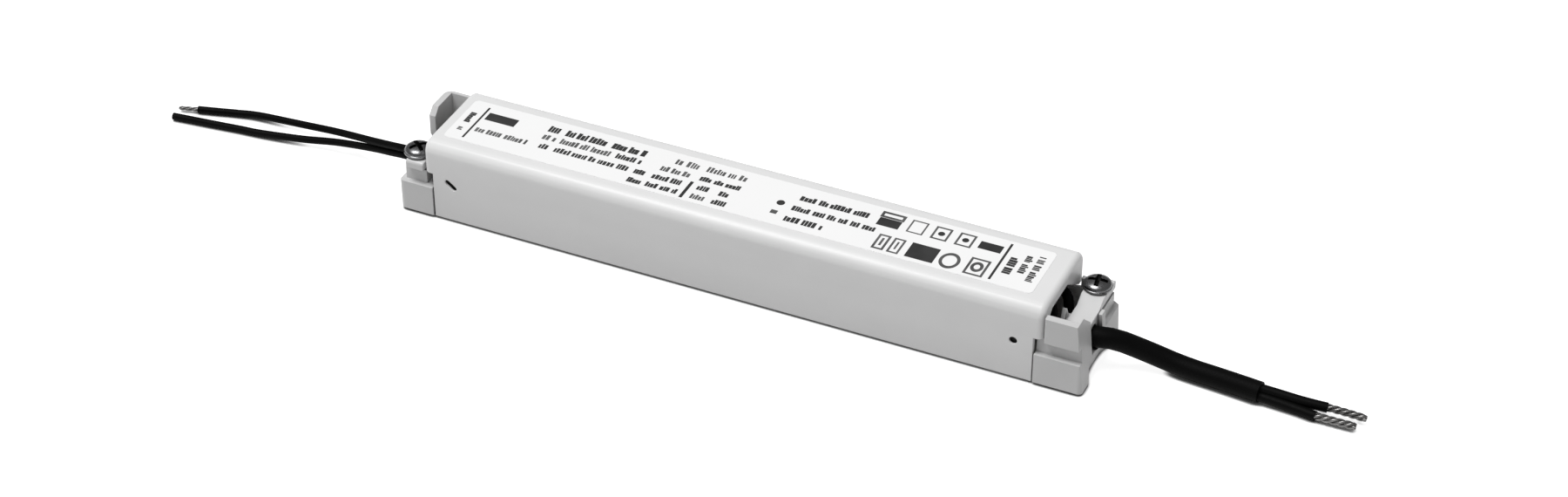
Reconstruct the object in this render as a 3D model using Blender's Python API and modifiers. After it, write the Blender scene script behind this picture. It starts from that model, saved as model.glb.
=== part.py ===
"""Slim LED driver in a clip-on plastic case, with a wire clamp at each end.

Metres, +Z up. The origin is the centre of the case's underside, and the case runs along X: mains wires leave at -X
and the output cord at +X. Each end is drawn in its own frame: u runs outward from the cover's seam, v runs across
towards the clamp screw, and z is up. The two ends are the same form turned half round.
"""

import math

import bmesh
import bpy
from mathutils import Vector

mm = 0.001

# Case
case_width = 22.0 * mm
case_height = 18.0 * mm
cover_length = 129.4 * mm
input_reach = 8.0 * mm
output_reach = 10.3 * mm
cover_wall = 1.2 * mm
cover_roof = 1.3 * mm
cover_round = 2.8 * mm
cover_end_wall = 1.2 * mm
cover_lift = 0.5 * mm
hood_reach = 1.9 * mm
hood_bottom = 10.8 * mm
edge_round = 0.8 * mm
touch_gap = 0.3 * mm

# Tray
tray_floor = 1.5 * mm
tray_wall = 0.9 * mm
tray_rim = 5.2 * mm
block_proud = 0.15 * mm
block_height = 7.2 * mm
groove_depth = 1.2 * mm
boss_height = 10.2 * mm
neck_height = 11.6 * mm
high_wall_thickness = 1.55 * mm
end_wall = 1.4 * mm
corner_round = 1.0 * mm
output_back_round = 2.8 * mm
notch_width = 14.5 * mm
notch_depth = 2.0 * mm
foot_height = 0.5 * mm
foot_inset = 0.6 * mm

# Latches
latch_inset = 4.0 * mm
latch_height = 9.0 * mm
latch_hole = 1.7 * mm
latch_hook = 1.0 * mm
latch_sink = 0.8 * mm
latch_tab_width = 6.0 * mm
latch_tab_height = 10.6 * mm

# Wire clamps
pad_top = 12.4 * mm
pad_inset = 0.1 * mm
arm_thickness = 1.3 * mm
cord_height = 7.3 * mm
saddle_gap = 0.3 * mm
screw_head = 5.9 * mm
screw_head_height = 1.75 * mm
screw_shank = 2.6 * mm
screw_length = 8.6 * mm
recess_span = 3.1 * mm
recess_width = 0.75 * mm
recess_depth = 1.1 * mm

# Circuit board
board_end_room = 3.2 * mm
board_thickness = 1.5 * mm
board_underside = 3.0 * mm
lead_radius = 0.35 * mm
lead_hole = 1.4 * mm
lead_below_board = 0.9 * mm

# Room on the board: the parts stand in a front and a rear lane, at bays counted from the board's middle
bays = 41
edge_room = 0.5 * mm
lane_gap = 0.8 * mm
front_share = 0.58
head_room = 1.6 * mm

# Wires and cord
wire_diameter = 1.55 * mm
cord_diameter = 4.2 * mm
core_diameter = 1.8 * mm
strand_diameter = 0.95 * mm
cord_strand_diameter = 1.4 * mm

round_steps = 20
fine_steps = 12

# Worked out from the sizes above
overall_length = cover_length + input_reach + output_reach
seam_input = -overall_length / 2 + input_reach
seam_output = overall_length / 2 - output_reach
cover_middle = (seam_input + seam_output) / 2
hood_input = seam_input - hood_reach
hood_output = seam_output + hood_reach
half_width = case_width / 2
block_half = half_width + block_proud
inner_half = half_width - cover_wall
tray_half = inner_half - touch_gap
pad_edge = half_width - pad_inset
board_length = cover_length - 2 * board_end_room
board_width = 2 * (tray_half - tray_wall - touch_gap)
board_top = board_underside + board_thickness
bay = board_length / bays
lanes = board_width - 2 * edge_room - lane_gap
front_lane = front_share * lanes
rear_lane = lanes - front_lane
front_y = edge_room + front_lane / 2 - board_width / 2
rear_y = board_width / 2 - edge_room - rear_lane / 2
tall_part = case_height - cover_roof - head_room - board_top
pad_underside = boss_height + touch_gap
arm_top = cord_height + cord_diameter / 2 + saddle_gap + arm_thickness
head_underside = pad_top + touch_gap


def at(*values):
    """A point given in millimetres, as metres."""
    return tuple(value * mm for value in values)


def clear_scene():
    for obj in list(bpy.data.objects):
        bpy.data.objects.remove(obj, do_unlink=True)


def new_collection(name):
    collection = bpy.data.collections.new(name)
    bpy.context.scene.collection.children.link(collection)
    return collection


clear_scene()
parts = new_collection("led_driver")
cutters = new_collection("cutters")
cutters.hide_render = True


def material(name, colour, roughness, metallic=0.0):
    made = bpy.data.materials.get(name) or bpy.data.materials.new(name)
    made.use_nodes = True
    shader = made.node_tree.nodes["Principled BSDF"]
    shader.inputs["Base Color"].default_value = (*colour, 1.0)
    shader.inputs["Roughness"].default_value = roughness
    shader.inputs["Metallic"].default_value = metallic
    return made


white_plastic = material("white_plastic", (0.80, 0.80, 0.79), 0.42)
black_pvc = material("black_pvc", (0.015, 0.015, 0.016), 0.5)
tinned_copper = material("tinned_copper", (0.62, 0.61, 0.60), 0.35, 1.0)
plated_steel = material("plated_steel", (0.42, 0.42, 0.43), 0.28, 1.0)
board_laminate = material("board_laminate", (0.55, 0.47, 0.24), 0.55)
black_epoxy = material("black_epoxy", (0.03, 0.03, 0.03), 0.5)
ferrite = material("ferrite", (0.07, 0.07, 0.075), 0.65)
bobbin_plastic = material("bobbin_plastic", (0.05, 0.05, 0.055), 0.45)
winding_tape = material("winding_tape", (0.75, 0.60, 0.12), 0.4)
can_sleeve = material("can_sleeve", (0.04, 0.07, 0.16), 0.35)
film_box = material("film_box", (0.72, 0.60, 0.14), 0.4)
blue_lacquer = material("blue_lacquer", (0.05, 0.18, 0.42), 0.35)
resistor_body = material("resistor_body", (0.30, 0.52, 0.55), 0.5)
fuse_cap = material("fuse_cap", (0.35, 0.12, 0.05), 0.45)


def place(obj, surface, smooth=True):
    """Puts a piece in the parts collection with its material."""
    for owner in list(obj.users_collection):
        owner.objects.unlink(obj)
    parts.objects.link(obj)
    obj.data.materials.clear()
    obj.data.materials.append(surface)
    if obj.type == "MESH" and smooth:
        obj.data.shade_smooth()
        obj.data.set_sharp_from_angle(angle=math.radians(38))
    return obj


def as_helper(obj):
    """Makes a piece a cutter or an added shape, which isn't part of the model by itself."""
    for owner in list(obj.users_collection):
        owner.objects.unlink(obj)
    cutters.objects.link(obj)
    obj.hide_render = True
    obj.display_type = "WIRE"
    return obj


def boolean(obj, other, operation):
    modifier = obj.modifiers.new(operation.lower(), "BOOLEAN")
    modifier.object = as_helper(other)
    modifier.operation = operation
    modifier.solver = "EXACT"


def cut(obj, *others):
    for other in others:
        boolean(obj, other, "DIFFERENCE")


def unite(obj, *others):
    for other in others:
        boolean(obj, other, "UNION")


def bevel(obj, width, segments=2, angle=40):
    modifier = obj.modifiers.new("bevel", "BEVEL")
    modifier.width = width
    modifier.segments = segments
    modifier.limit_method = "ANGLE"
    modifier.angle_limit = math.radians(angle)


def linked_mesh(name, shape):
    mesh = bpy.data.meshes.new(name)
    shape.to_mesh(mesh)
    shape.free()
    obj = bpy.data.objects.new(name, mesh)
    bpy.context.scene.collection.objects.link(obj)
    return obj


def box(name, low, high):
    """A box between two corners, in any order."""
    corners = [sorted(pair) for pair in zip(low, high)]
    size = [pair[1] - pair[0] for pair in corners]
    middle = [(pair[0] + pair[1]) / 2 for pair in corners]
    shape = bmesh.new()
    bmesh.ops.create_cube(shape, size=1.0)
    bmesh.ops.scale(shape, vec=Vector(size), verts=shape.verts)
    bmesh.ops.translate(shape, vec=Vector(middle), verts=shape.verts)
    return linked_mesh(name, shape)


def rod(name, centre, radius, low, high, axis="Z", steps=fine_steps):
    """A straight cylinder. centre gives the two coordinates across the axis, in X, Y, Z order."""
    shape = bmesh.new()
    bmesh.ops.create_cone(
        shape, cap_ends=True, segments=steps, radius1=radius, radius2=radius, depth=high - low
    )
    turned = {"Z": (0, 0, 0), "X": (0, math.pi / 2, 0), "Y": (math.pi / 2, 0, 0)}[axis]
    spot = list(centre)
    spot.insert("XYZ".index(axis), (low + high) / 2)
    obj = linked_mesh(name, shape)
    obj.rotation_euler = turned
    obj.location = spot
    return obj


def arc(centre, radius, start, end, steps):
    """Points along an arc, with the angles in degrees."""
    found = []
    for i in range(steps + 1):
        angle = math.radians(start + (end - start) * i / steps)
        found.append((centre[0] + radius * math.cos(angle), centre[1] + radius * math.sin(angle)))
    return found


def rounded(corners, steps=4):
    """An outline from corners (a, b, radius), each corner with its own fillet."""
    found = []
    count = len(corners)
    for i, (a, b, radius) in enumerate(corners):
        if not radius:
            found.append((a, b))
            continue
        here = Vector((a, b))
        back = (Vector(corners[i - 1][:2]) - here).normalized()
        ahead = (Vector(corners[(i + 1) % count][:2]) - here).normalized()
        half = back.angle(ahead) / 2
        centre = here + (back + ahead).normalized() * (radius / math.sin(half))
        first = here + back * (radius / math.tan(half)) - centre
        last = here + ahead * (radius / math.tan(half)) - centre
        turn = first.angle_signed(last)
        for step in range(steps + 1):
            angle = math.atan2(first.y, first.x) - turn * step / steps
            found.append((centre.x + radius * math.cos(angle), centre.y + radius * math.sin(angle)))
    return found


def extruded(name, outline, low, high, axis):
    """A flat outline given thickness along an axis. The outline's points are (y, z) along X, (x, z) along Y and
    (x, y) along Z."""
    curve = bpy.data.curves.new(name, "CURVE")
    curve.dimensions = "2D"
    curve.fill_mode = "BOTH"
    curve.extrude = (high - low) / 2
    spline = curve.splines.new("POLY")
    spline.points.add(len(outline) - 1)
    for point, (a, b) in zip(spline.points, outline):
        point.co = (a, b, 0, 1)
    spline.use_cyclic_u = True
    flat = bpy.data.objects.new(name + "_outline", curve)
    bpy.context.scene.collection.objects.link(flat)
    graph = bpy.context.evaluated_depsgraph_get()
    mesh = bpy.data.meshes.new_from_object(flat.evaluated_get(graph))
    bpy.data.objects.remove(flat)
    shape = bmesh.new()
    shape.from_mesh(mesh)
    bmesh.ops.remove_doubles(shape, verts=shape.verts, dist=1e-6)
    middle = (low + high) / 2
    for vert in shape.verts:
        a, b, depth = vert.co.x, vert.co.y, vert.co.z + middle
        vert.co = {"X": (depth, a, b), "Y": (a, depth, b), "Z": (a, b, depth)}[axis]
    shape.normal_update()
    bmesh.ops.recalc_face_normals(shape, faces=shape.faces)
    return linked_mesh(name, shape)


def turned(name, profile, centre, steps=round_steps, axis="Z"):
    """A turned shape. profile runs from the top on the axis, down the outer side, back to the axis: (radius, height)."""
    mesh = bpy.data.meshes.new(name)
    edges = [(i, i + 1) for i in range(len(profile) - 1)]
    mesh.from_pydata([(radius, 0, height) for radius, height in profile], edges, [])
    obj = bpy.data.objects.new(name, mesh)
    bpy.context.scene.collection.objects.link(obj)
    obj.location = centre
    if axis == "X":
        obj.rotation_euler = (0, math.pi / 2, 0)
    screw = obj.modifiers.new("turn", "SCREW")
    screw.steps = steps
    screw.render_steps = steps
    screw.use_merge_vertices = True
    screw.merge_threshold = 0.00001
    return obj


def smooth_route(points, spacing):
    """Points read at even steps from a smooth curve through the route's own points."""
    route = [Vector(point) for point in points]
    route = [2 * route[0] - route[1]] + route + [2 * route[-1] - route[-2]]
    dense = []
    for a, b, c, d in zip(route, route[1:], route[2:], route[3:]):
        for i in range(24):
            t = i / 24
            dense.append(
                0.5 * (2 * b + (c - a) * t + (2 * a - 5 * b + 4 * c - d) * t * t + (3 * b - a - 3 * c + d) * t ** 3)
            )
    dense.append(route[-2])
    lengths = [0.0]
    for a, b in zip(dense, dense[1:]):
        lengths.append(lengths[-1] + (b - a).length)
    count = max(3, round(lengths[-1] / spacing))
    found, j = [], 0
    for i in range(count + 1):
        wanted = lengths[-1] * i / count
        while j < len(lengths) - 2 and lengths[j + 1] < wanted:
            j += 1
        share = (wanted - lengths[j]) / max(lengths[j + 1] - lengths[j], 1e-9)
        found.append(dense[j].lerp(dense[j + 1], share))
    return found


def tube(name, points, diameter, surface, spacing=2.2, resolution=2):
    """A plain round wire or cord along a smooth route, as a curve with a bevel."""
    curve = bpy.data.curves.new(name, "CURVE")
    curve.dimensions = "3D"
    curve.bevel_depth = diameter / 2
    curve.bevel_resolution = resolution
    curve.use_fill_caps = True
    route = smooth_route(points, spacing * diameter)
    spline = curve.splines.new("POLY")
    spline.points.add(len(route) - 1)
    for point, place_on_route in zip(spline.points, route):
        point.co = (*place_on_route, 1)
    obj = bpy.data.objects.new(name, curve)
    bpy.context.scene.collection.objects.link(obj)
    return place(obj, surface)


class End:
    """One end of the case, in its own frame."""

    def __init__(
        self, name, side, seam, reach, draft, slot, boss_face, high_wall_edge, slope_edge, slope_height,
        rim_half, rim_top, rim_round,
    ):
        self.name = name
        self.side = side
        self.seam = seam
        self.reach = reach
        self.draft = draft
        self.slot = slot
        self.boss_face = boss_face
        self.high_wall_edge = high_wall_edge
        self.slope_edge = slope_edge
        self.slope_height = slope_height
        self.rim_half = rim_half
        self.rim_top = rim_top
        self.rim_round = rim_round

    def box(self, label, u, v, z):
        low = (self.seam + self.side * u[0], self.side * v[0], z[0])
        high = (self.seam + self.side * u[1], self.side * v[1], z[1])
        return box(f"{self.name}_{label}", low, high)

    def across(self, label, outline, u):
        """An outline of (v, z) points, extruded outward along u."""
        span = sorted((self.seam + self.side * u[0], self.seam + self.side * u[1]))
        points = [(self.side * v, z) for v, z in outline]
        return extruded(f"{self.name}_{label}", points, *span, "X")

    def lengthwise(self, label, outline):
        """An outline of (u, z) points, extruded over the whole width."""
        points = [(self.seam + self.side * u, z) for u, z in outline]
        return extruded(f"{self.name}_{label}", points, -case_width, case_width, "Y")

    def plan(self, label, outline, z):
        """An outline of (u, v) points, extruded upward."""
        points = [(self.seam + self.side * u, self.side * v) for u, v in outline]
        return extruded(f"{self.name}_{label}", points, *z, "Z")

    def point(self, u, v, z):
        return (self.seam + self.side * u, self.side * v, z)


output_end = End(
    "output", 1, seam_output, output_reach, 1.5 * mm,
    slot=at(-4.7, 1.2), boss_face=3.0 * mm,
    high_wall_edge=-8.0 * mm, slope_edge=-4.1 * mm, slope_height=case_height - 5.4 * mm,
    rim_half=block_half, rim_top=case_height - 1.9 * mm, rim_round=corner_round,
)
input_end = End(
    "input", -1, seam_input, input_reach, 0.3 * mm,
    slot=at(-1.8, 3.3), boss_face=3.6 * mm,
    high_wall_edge=-3.4 * mm, slope_edge=-1.8 * mm, slope_height=case_height - 3.0 * mm,
    rim_half=half_width - 1.5 * mm, rim_top=case_height - 1.4 * mm, rim_round=1.6 * mm,
)
ends = (output_end, input_end)

# Where each clamp screw stands in its end's frame, and the span of the clamp bar under it
clamp_place = {
    "output": {
        "screw": (6.1 * mm, half_width - 3.9 * mm), "bar": at(3.9, 8.5), "boss": at(3.7, 8.7), "slot_middle": -1.4 * mm,
    },
    "input": {
        "screw": (5.0 * mm, half_width - 3.4 * mm), "bar": at(2.3, 6.3), "boss": at(2.1, 6.9), "slot_middle": 2.0 * mm,
    },
}
pocket_half = half_width - 2.2 * mm
wire_heights = at(6.2, 8.1)


def cover_section(inset, top, radius, bottom):
    """The cover's cross-section as (y, z) points, with rounded long edges at the top."""
    side = half_width - inset
    return rounded([(-side, bottom, 0), (-side, top, radius), (side, top, radius), (side, bottom, 0)], steps=6)


def window_outline(end):
    """The open part of the cover's end wall, above the wires, in (v, z)."""
    roof = case_height - 2.6 * mm
    if end is output_end:
        return [
            (2.6 * mm - half_width, 9.0 * mm), (2.6 * mm - half_width, roof - 2.2 * mm),
            (4.6 * mm - half_width, roof), (1.6 * mm, roof),
            (half_width - 2.2 * mm, 10.6 * mm), (half_width - 2.2 * mm, 9.0 * mm),
        ]
    return [
        (2.6 * mm - half_width, 9.0 * mm), (2.6 * mm - half_width, roof - 1.2 * mm),
        (3.8 * mm - half_width, roof), (3.0 * mm, roof),
        (half_width - 2.2 * mm, 10.6 * mm), (half_width - 2.2 * mm, 9.0 * mm),
    ]


def build_cover():
    cover = extruded(
        "top_cover", cover_section(0, case_height, cover_round, cover_lift), hood_input, hood_output, "X"
    )
    bevel(cover, edge_round, segments=3, angle=50)
    inside_round = cover_round - cover_wall
    cavity = extruded(
        "cover_cavity",
        cover_section(cover_wall, case_height - cover_roof, inside_round, -2 * mm),
        hood_input + cover_end_wall,
        hood_output - cover_end_wall,
        "X",
    )
    cut(cover, cavity)
    for end in ends:
        below_hood = end.box(
            "below_hood", (0, hood_reach + 2 * mm), (-case_width, case_width), (-2 * mm, hood_bottom)
        )
        window = end.across("window", window_outline(end), (-cover_end_wall, hood_reach + 1 * mm))
        cut(cover, below_hood, window)
        for face in (-1, 1):
            cut(cover, latch_opening(end, face))
    return place(cover, white_plastic, smooth=False)


def latch_opening(end, face):
    """A hole through a side wall for a tray hook: round at the output end, a slanted slot at the input end."""
    u = -latch_inset
    v_span = (face * (inner_half - 1 * mm), face * (half_width + 1 * mm))
    radius = latch_hole / 2
    x = end.seam + end.side * u
    y_low, y_high = sorted(end.side * v for v in v_span)
    if end is output_end:
        return rod(f"{end.name}_latch_hole_{face}", (x, latch_height), radius, y_low, y_high, "Y")
    half_slot = 0.9 * mm
    lean = math.radians(-38)
    outline = arc((half_slot, 0), radius * 0.72, -90, 90, 5) + arc((-half_slot, 0), radius * 0.72, 90, 270, 5)
    outline = [
        (
            x + a * math.cos(lean) - b * math.sin(lean),
            latch_height + a * math.sin(lean) + b * math.cos(lean),
        )
        for a, b in outline
    ]
    return extruded(f"{end.name}_latch_slot_{face}", outline, y_low, y_high, "Y")


def notch(end):
    """The shallow fixing notch in an end's edge, in plan."""
    half = notch_width / 2
    radius = (half ** 2 + notch_depth ** 2) / (2 * notch_depth)
    centre = (end.reach - notch_depth + radius, 0)
    spread = math.degrees(math.asin(half * 1.2 / radius))
    outline = arc(centre, radius, 180 - spread, 180 + spread, 12)
    outline += [(end.reach + 6 * mm, outline[-1][1]), (end.reach + 6 * mm, outline[0][1])]
    return end.plan("notch", outline, (-1 * mm, cord_height - cord_diameter / 2 - 0.9 * mm))


def add_end_block(tray, end):
    """The clamp compartment at one end: a block with a side groove, a high corner wall, a screw boss and a saddle."""
    place_of = clamp_place[end.name]
    reach = end.reach
    start = touch_gap
    back_round = output_back_round if end is output_end else corner_round
    lower = end.plan(
        "block",
        rounded([
            (start, -block_half, 0), (reach, -block_half, corner_round),
            (reach, block_half, back_round), (start, block_half, 0),
        ]),
        (foot_height, block_height),
    )
    foot_half = block_half - foot_inset
    foot = end.plan(
        "foot",
        rounded([
            (start, -foot_half, 0), (reach - foot_inset, -foot_half, corner_round),
            (reach - foot_inset, foot_half, back_round), (start, foot_half, 0),
        ]),
        (0, foot_height + 0.5 * mm),
    )
    link = end.box("floor_link", (-3 * mm, start + 2 * mm), (-tray_half, tray_half), (0, tray_floor))
    neck_half = half_width - groove_depth
    neck = end.box(
        "neck",
        (start, reach - 0.5 * mm), (-neck_half, end.boss_face), (block_height - 1 * mm, hood_bottom),
    )
    ledge = end.box(
        "ledge",
        (hood_reach + 0.5 * mm, reach - 0.8 * mm), (-neck_half, -pocket_half + 1 * mm),
        (hood_bottom - 1 * mm, neck_height),
    )
    rim = end.plan(
        "high_wall",
        rounded([
            (hood_reach + touch_gap, -end.rim_half, 0.3 * mm), (reach - 0.3 * mm, -end.rim_half, end.rim_round),
            (reach - 0.3 * mm, end.slope_edge, 0), (reach - end_wall - 0.3 * mm, end.slope_edge, 0),
            (reach - end_wall - 0.3 * mm, -end.rim_half + high_wall_thickness, 0.5 * mm),
            (hood_reach + touch_gap, -end.rim_half + high_wall_thickness, 0),
        ]),
        (hood_bottom - 0.4 * mm, end.rim_top),
    )
    boss = end.box(
        "boss", place_of["boss"], (end.boss_face - 0.2 * mm, neck_half), (block_height - 1 * mm, boss_height)
    )
    unite(tray, lower, foot, link, neck, boss, rim, ledge)
    if end is output_end:
        rear_wall = end.box(
            "rear_wall", (start, place_of["bar"][0]), (pocket_half, neck_half),
            (block_height - 1 * mm, boss_height - 0.4 * mm),
        )
        rear_guard = end.box(
            "rear_guard", (hood_reach + touch_gap, place_of["bar"][0] - touch_gap), (pocket_half, neck_half),
            (boss_height - 1 * mm, pad_top - 0.2 * mm),
        )
        unite(tray, rear_wall, rear_guard)

    pocket = end.box(
        "pocket", (-1 * mm, reach - end_wall - 0.3 * mm), (-pocket_half, end.boss_face),
        (tray_floor, neck_height + 10 * mm),
    )
    side_pocket = end.box(
        "side_pocket", (-1 * mm, place_of["bar"][0] - 0.6 * mm), (-pocket_half, pocket_half),
        (tray_floor, neck_height + 10 * mm),
    )
    behind_wall = end.box(
        "behind_wall", (-1 * mm, reach - end_wall - 0.3 * mm),
        (-end.rim_half + high_wall_thickness, end.boss_face), (neck_height, end.rim_top + 5 * mm),
    )
    seam_gap = end.box(
        "seam_gap", (-1 * mm, hood_reach + 0.15 * mm), (-case_width, case_width),
        (hood_bottom - touch_gap, case_height),
    )
    slope = end.across(
        "slope",
        [
            (end.high_wall_edge, end.rim_top + 1 * mm), (end.high_wall_edge, end.rim_top - 0.01 * mm),
            (end.slope_edge, end.slope_height), (end.slope_edge + 1 * mm, end.slope_height),
            (end.slope_edge + 1 * mm, end.rim_top + 1 * mm),
        ],
        (reach - end_wall - 2 * mm, reach + 2 * mm),
    )
    slot = end.box(
        "slot", (reach - end_wall - 2 * mm, reach + 2 * mm), end.slot,
        (saddle_top(end) - 1.5 * mm, end.rim_top + 5 * mm),
    )
    draft = end.lengthwise(
        "draft",
        [
            (reach + end.draft / end.rim_top * mm, -1 * mm), (reach + 6 * mm, -1 * mm),
            (reach + 6 * mm, end.rim_top + 4 * mm),
            (reach - end.draft * (end.rim_top + 4 * mm) / end.rim_top, end.rim_top + 4 * mm),
        ],
    )
    cut(tray, pocket, side_pocket, behind_wall, slot, seam_gap, slope, notch(end), draft)
    if end is input_end:
        cut(tray, end.box(
            "side_mouth", (-1 * mm, hood_reach + 0.15 * mm), (end.boss_face, case_width), (block_height, case_height)
        ))

    u_bar = place_of["bar"]
    middle = place_of["slot_middle"]
    side_room = 3.2 * mm if end is output_end else 2.2 * mm
    saddle = end.box(
        "saddle", (u_bar[0], reach - end_wall), (middle - side_room, end.boss_face + 0.5 * mm),
        (tray_floor - 0.5 * mm, saddle_top(end)),
    )
    unite(tray, saddle)
    cut(tray, saddle_channel(end))
    screw_u, screw_v = place_of["screw"]
    x, y, _ = end.point(screw_u, screw_v, 0)
    cut(tray, rod(f"{end.name}_pilot", (x, y), screw_shank / 2 + touch_gap, 2.6 * mm, case_height))


def saddle_top(end):
    return cord_height - 0.4 * mm if end is output_end else 8.7 * mm


def saddle_channel(end):
    """The channel that holds the cord, or the two wires one above the other."""
    middle = clamp_place[end.name]["slot_middle"]
    if end is output_end:
        x, y, _ = end.point(end.reach, middle, 0)
        length = (end.seam + 1 * mm, end.seam + end.reach + 1 * mm)
        return rod("output_channel", (y, cord_height), cord_diameter / 2 + saddle_gap, *length, "X", round_steps)
    half = wire_diameter / 2 + saddle_gap
    low = wire_heights[0] - half
    return end.box("channel", (1 * mm, end.reach + 1 * mm), (middle - half, middle + half), (low, 12 * mm))


def add_latch(tray, end, face):
    """A springy tab on the tray's edge, with a hook that sits in the cover's side hole."""
    u = -latch_inset
    half = latch_tab_width / 2
    tab = end.box(
        f"latch_tab_{face}", (u - half, u + half),
        (face * (tray_half - tray_wall), face * tray_half), (tray_floor - 0.5 * mm, latch_tab_height),
    )
    x = end.seam + end.side * u
    y_low, y_high = sorted((end.side * face * (tray_half - 0.5 * mm), end.side * face * (half_width - latch_sink)))
    hook = rod(f"{end.name}_hook_{face}", (x, latch_height), latch_hook / 2, y_low, y_high, "Y", 8)
    unite(tray, tab, hook)


def board_supports():
    """Low posts that carry the circuit board, clear of the leads under it."""
    half = 1.0 * mm
    y = board_width / 2 - 0.9 * mm
    found = []
    for i, share in enumerate((-0.46, -0.02, 0.46)):
        x = cover_middle + share * board_length
        for face in (-1, 1):
            found.append(box(
                f"board_post_{i}_{face}", (x - half, face * y - 0.6 * mm, tray_floor - 0.5 * mm),
                (x + half, face * (tray_half - 0.5 * mm), board_underside - touch_gap),
            ))
    return found


def build_tray():
    inset = 1.2 * mm
    tray = box("base_tray", (seam_input - 1 * mm, -tray_half, 0), (seam_output + 1 * mm, tray_half, tray_floor))
    for face in (-1, 1):
        unite(tray, box(
            f"tray_side_{face}", (seam_input + inset, face * (tray_half - tray_wall), tray_floor - 0.5 * mm),
            (seam_output - inset, face * tray_half, tray_rim),
        ))
    unite(tray, *board_supports())
    for end in ends:
        for face in (-1, 1):
            add_latch(tray, end, face)
    for end in ends:
        add_end_block(tray, end)
    return place(tray, white_plastic, smooth=False)


def clamp_outline(end):
    """The clamp bar across the wires, in (v, z): a flat pad under the screw, a ramp and an arm over the wires."""
    middle = clamp_place[end.name]["slot_middle"]
    if end is output_end:
        hold = cord_diameter / 2 + saddle_gap
        foot = cord_height + 0.7 * mm
        reach = math.sqrt(hold ** 2 - (foot - cord_height) ** 2)
        angle = math.degrees(math.atan2(foot - cord_height, reach))
        arch = arc((middle, cord_height), hold, 180 - angle, angle, 8)
        return [
            (arm_side(end), pad_underside), (pad_edge, pad_underside), (pad_edge, pad_top - 0.4 * mm),
            (pad_edge - 0.4 * mm, pad_top), at(4.3, 12.4), (2.0 * mm, arm_top + 0.1 * mm),
            (middle - hold - 0.9 * mm, arm_top), (middle - hold - 1.2 * mm, arm_top - 0.4 * mm),
            (middle - hold - 1.2 * mm, foot),
            *arch, (arm_side(end), foot),
        ]
    arm_low = wire_heights[1] + wire_diameter / 2 + touch_gap
    return [
        (arm_side(end), pad_underside), (pad_edge, pad_underside), (pad_edge, pad_top - 0.4 * mm),
        (pad_edge - 0.4 * mm, pad_top), at(5.0, 12.4), (3.4 * mm, arm_top + 0.1 * mm),
        (middle - 0.9 * mm, arm_top), (middle - 0.9 * mm, arm_low), (arm_side(end), arm_low),
    ]


def arm_side(end):
    return end.boss_face - touch_gap


def build_clamp(end):
    place_of = clamp_place[end.name]
    bar = end.across("clamp_bar", clamp_outline(end), place_of["bar"])
    bar.name = f"{end.name}_clamp_bar"
    if end is output_end:
        middle = place_of["slot_middle"]
        fin_low = cord_height + cord_diameter / 2 - 0.7 * mm
        fin = end.across(
            "clamp_fin",
            [(middle - 1.9 * mm, fin_low), (middle + 1.7 * mm, fin_low), (middle - 0.3 * mm, pad_top + 0.1 * mm)],
            (place_of["bar"][0] - 1.6 * mm, place_of["bar"][0] - 0.6 * mm),
        )
        fin_foot = end.box(
            "fin_foot", (place_of["bar"][0] - 0.8 * mm, place_of["bar"][0] + 0.5 * mm),
            (middle - 1.2 * mm, middle + 1.2 * mm), (fin_low, arm_top - arm_thickness / 2),
        )
        unite(bar, fin, fin_foot)
    screw_u, screw_v = place_of["screw"]
    x, y, _ = end.point(screw_u, screw_v, 0)
    cut(bar, rod(f"{end.name}_clamp_hole", (x, y), screw_shank / 2 + touch_gap, 9 * mm, 14 * mm))
    return place(bar, white_plastic, smooth=False)


def build_screw(end):
    """A pan-head screw with a cross recess. Its thread isn't drawn."""
    screw_u, screw_v = clamp_place[end.name]["screw"]
    centre = end.point(screw_u, screw_v, head_underside)
    head = screw_head / 2
    crown = screw_head_height
    shank = screw_shank / 2
    profile = [(0, crown)]
    for i in range(1, 5):
        angle = math.radians(22 * i)
        profile.append((head * math.sin(angle) / math.sin(math.radians(88)), crown * (0.36 + 0.64 * math.cos(angle))))
    profile += [
        (head, crown * 0.3), (head - 0.15 * mm, 0), (shank, 0),
        (shank, -screw_length + 1.6 * mm), (0.25 * mm, -screw_length), (0, -screw_length),
    ]
    screw = turned(f"{end.name}_clamp_screw", profile, centre, 20)
    top = centre[2] + crown
    for angle in (35, 125):
        blade = box(
            f"{end.name}_recess_{angle}",
            (-recess_span / 2, -recess_width / 2, top - recess_depth),
            (recess_span / 2, recess_width / 2, top + 1 * mm),
        )
        blade.rotation_euler = (0, 0, math.radians(angle))
        blade.location = (centre[0], centre[1], 0)
        cut(screw, blade)
    return place(screw, plated_steel)


lead_places = []


def with_leads(body, places, top, radius=lead_radius):
    """Adds round leads that pass through the board, and notes where the board needs its holes."""
    low = board_underside - lead_below_board
    for i, (x, y) in enumerate(places):
        unite(body, rod(f"{body.name}_lead_{i}", (x, y), radius, low, top, steps=8))
    lead_places.extend(places)


def can(name, centre, radius, height, spread, surface):
    """An upright round part with a chamfered top and two leads, such as a capacitor."""
    x, y = centre
    low = board_top + touch_gap
    profile = [
        (0, height), (radius - 0.5 * mm, height), (radius, height - 0.5 * mm),
        (radius, 1.4 * mm), (radius - 0.3 * mm, 1.1 * mm), (radius, 0.8 * mm), (radius, 0), (0, 0),
    ]
    body = turned(name, profile, (x, y, low))
    with_leads(body, [(x - spread / 2, y), (x + spread / 2, y)], low + 0.6 * mm)
    return place(body, surface)


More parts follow.
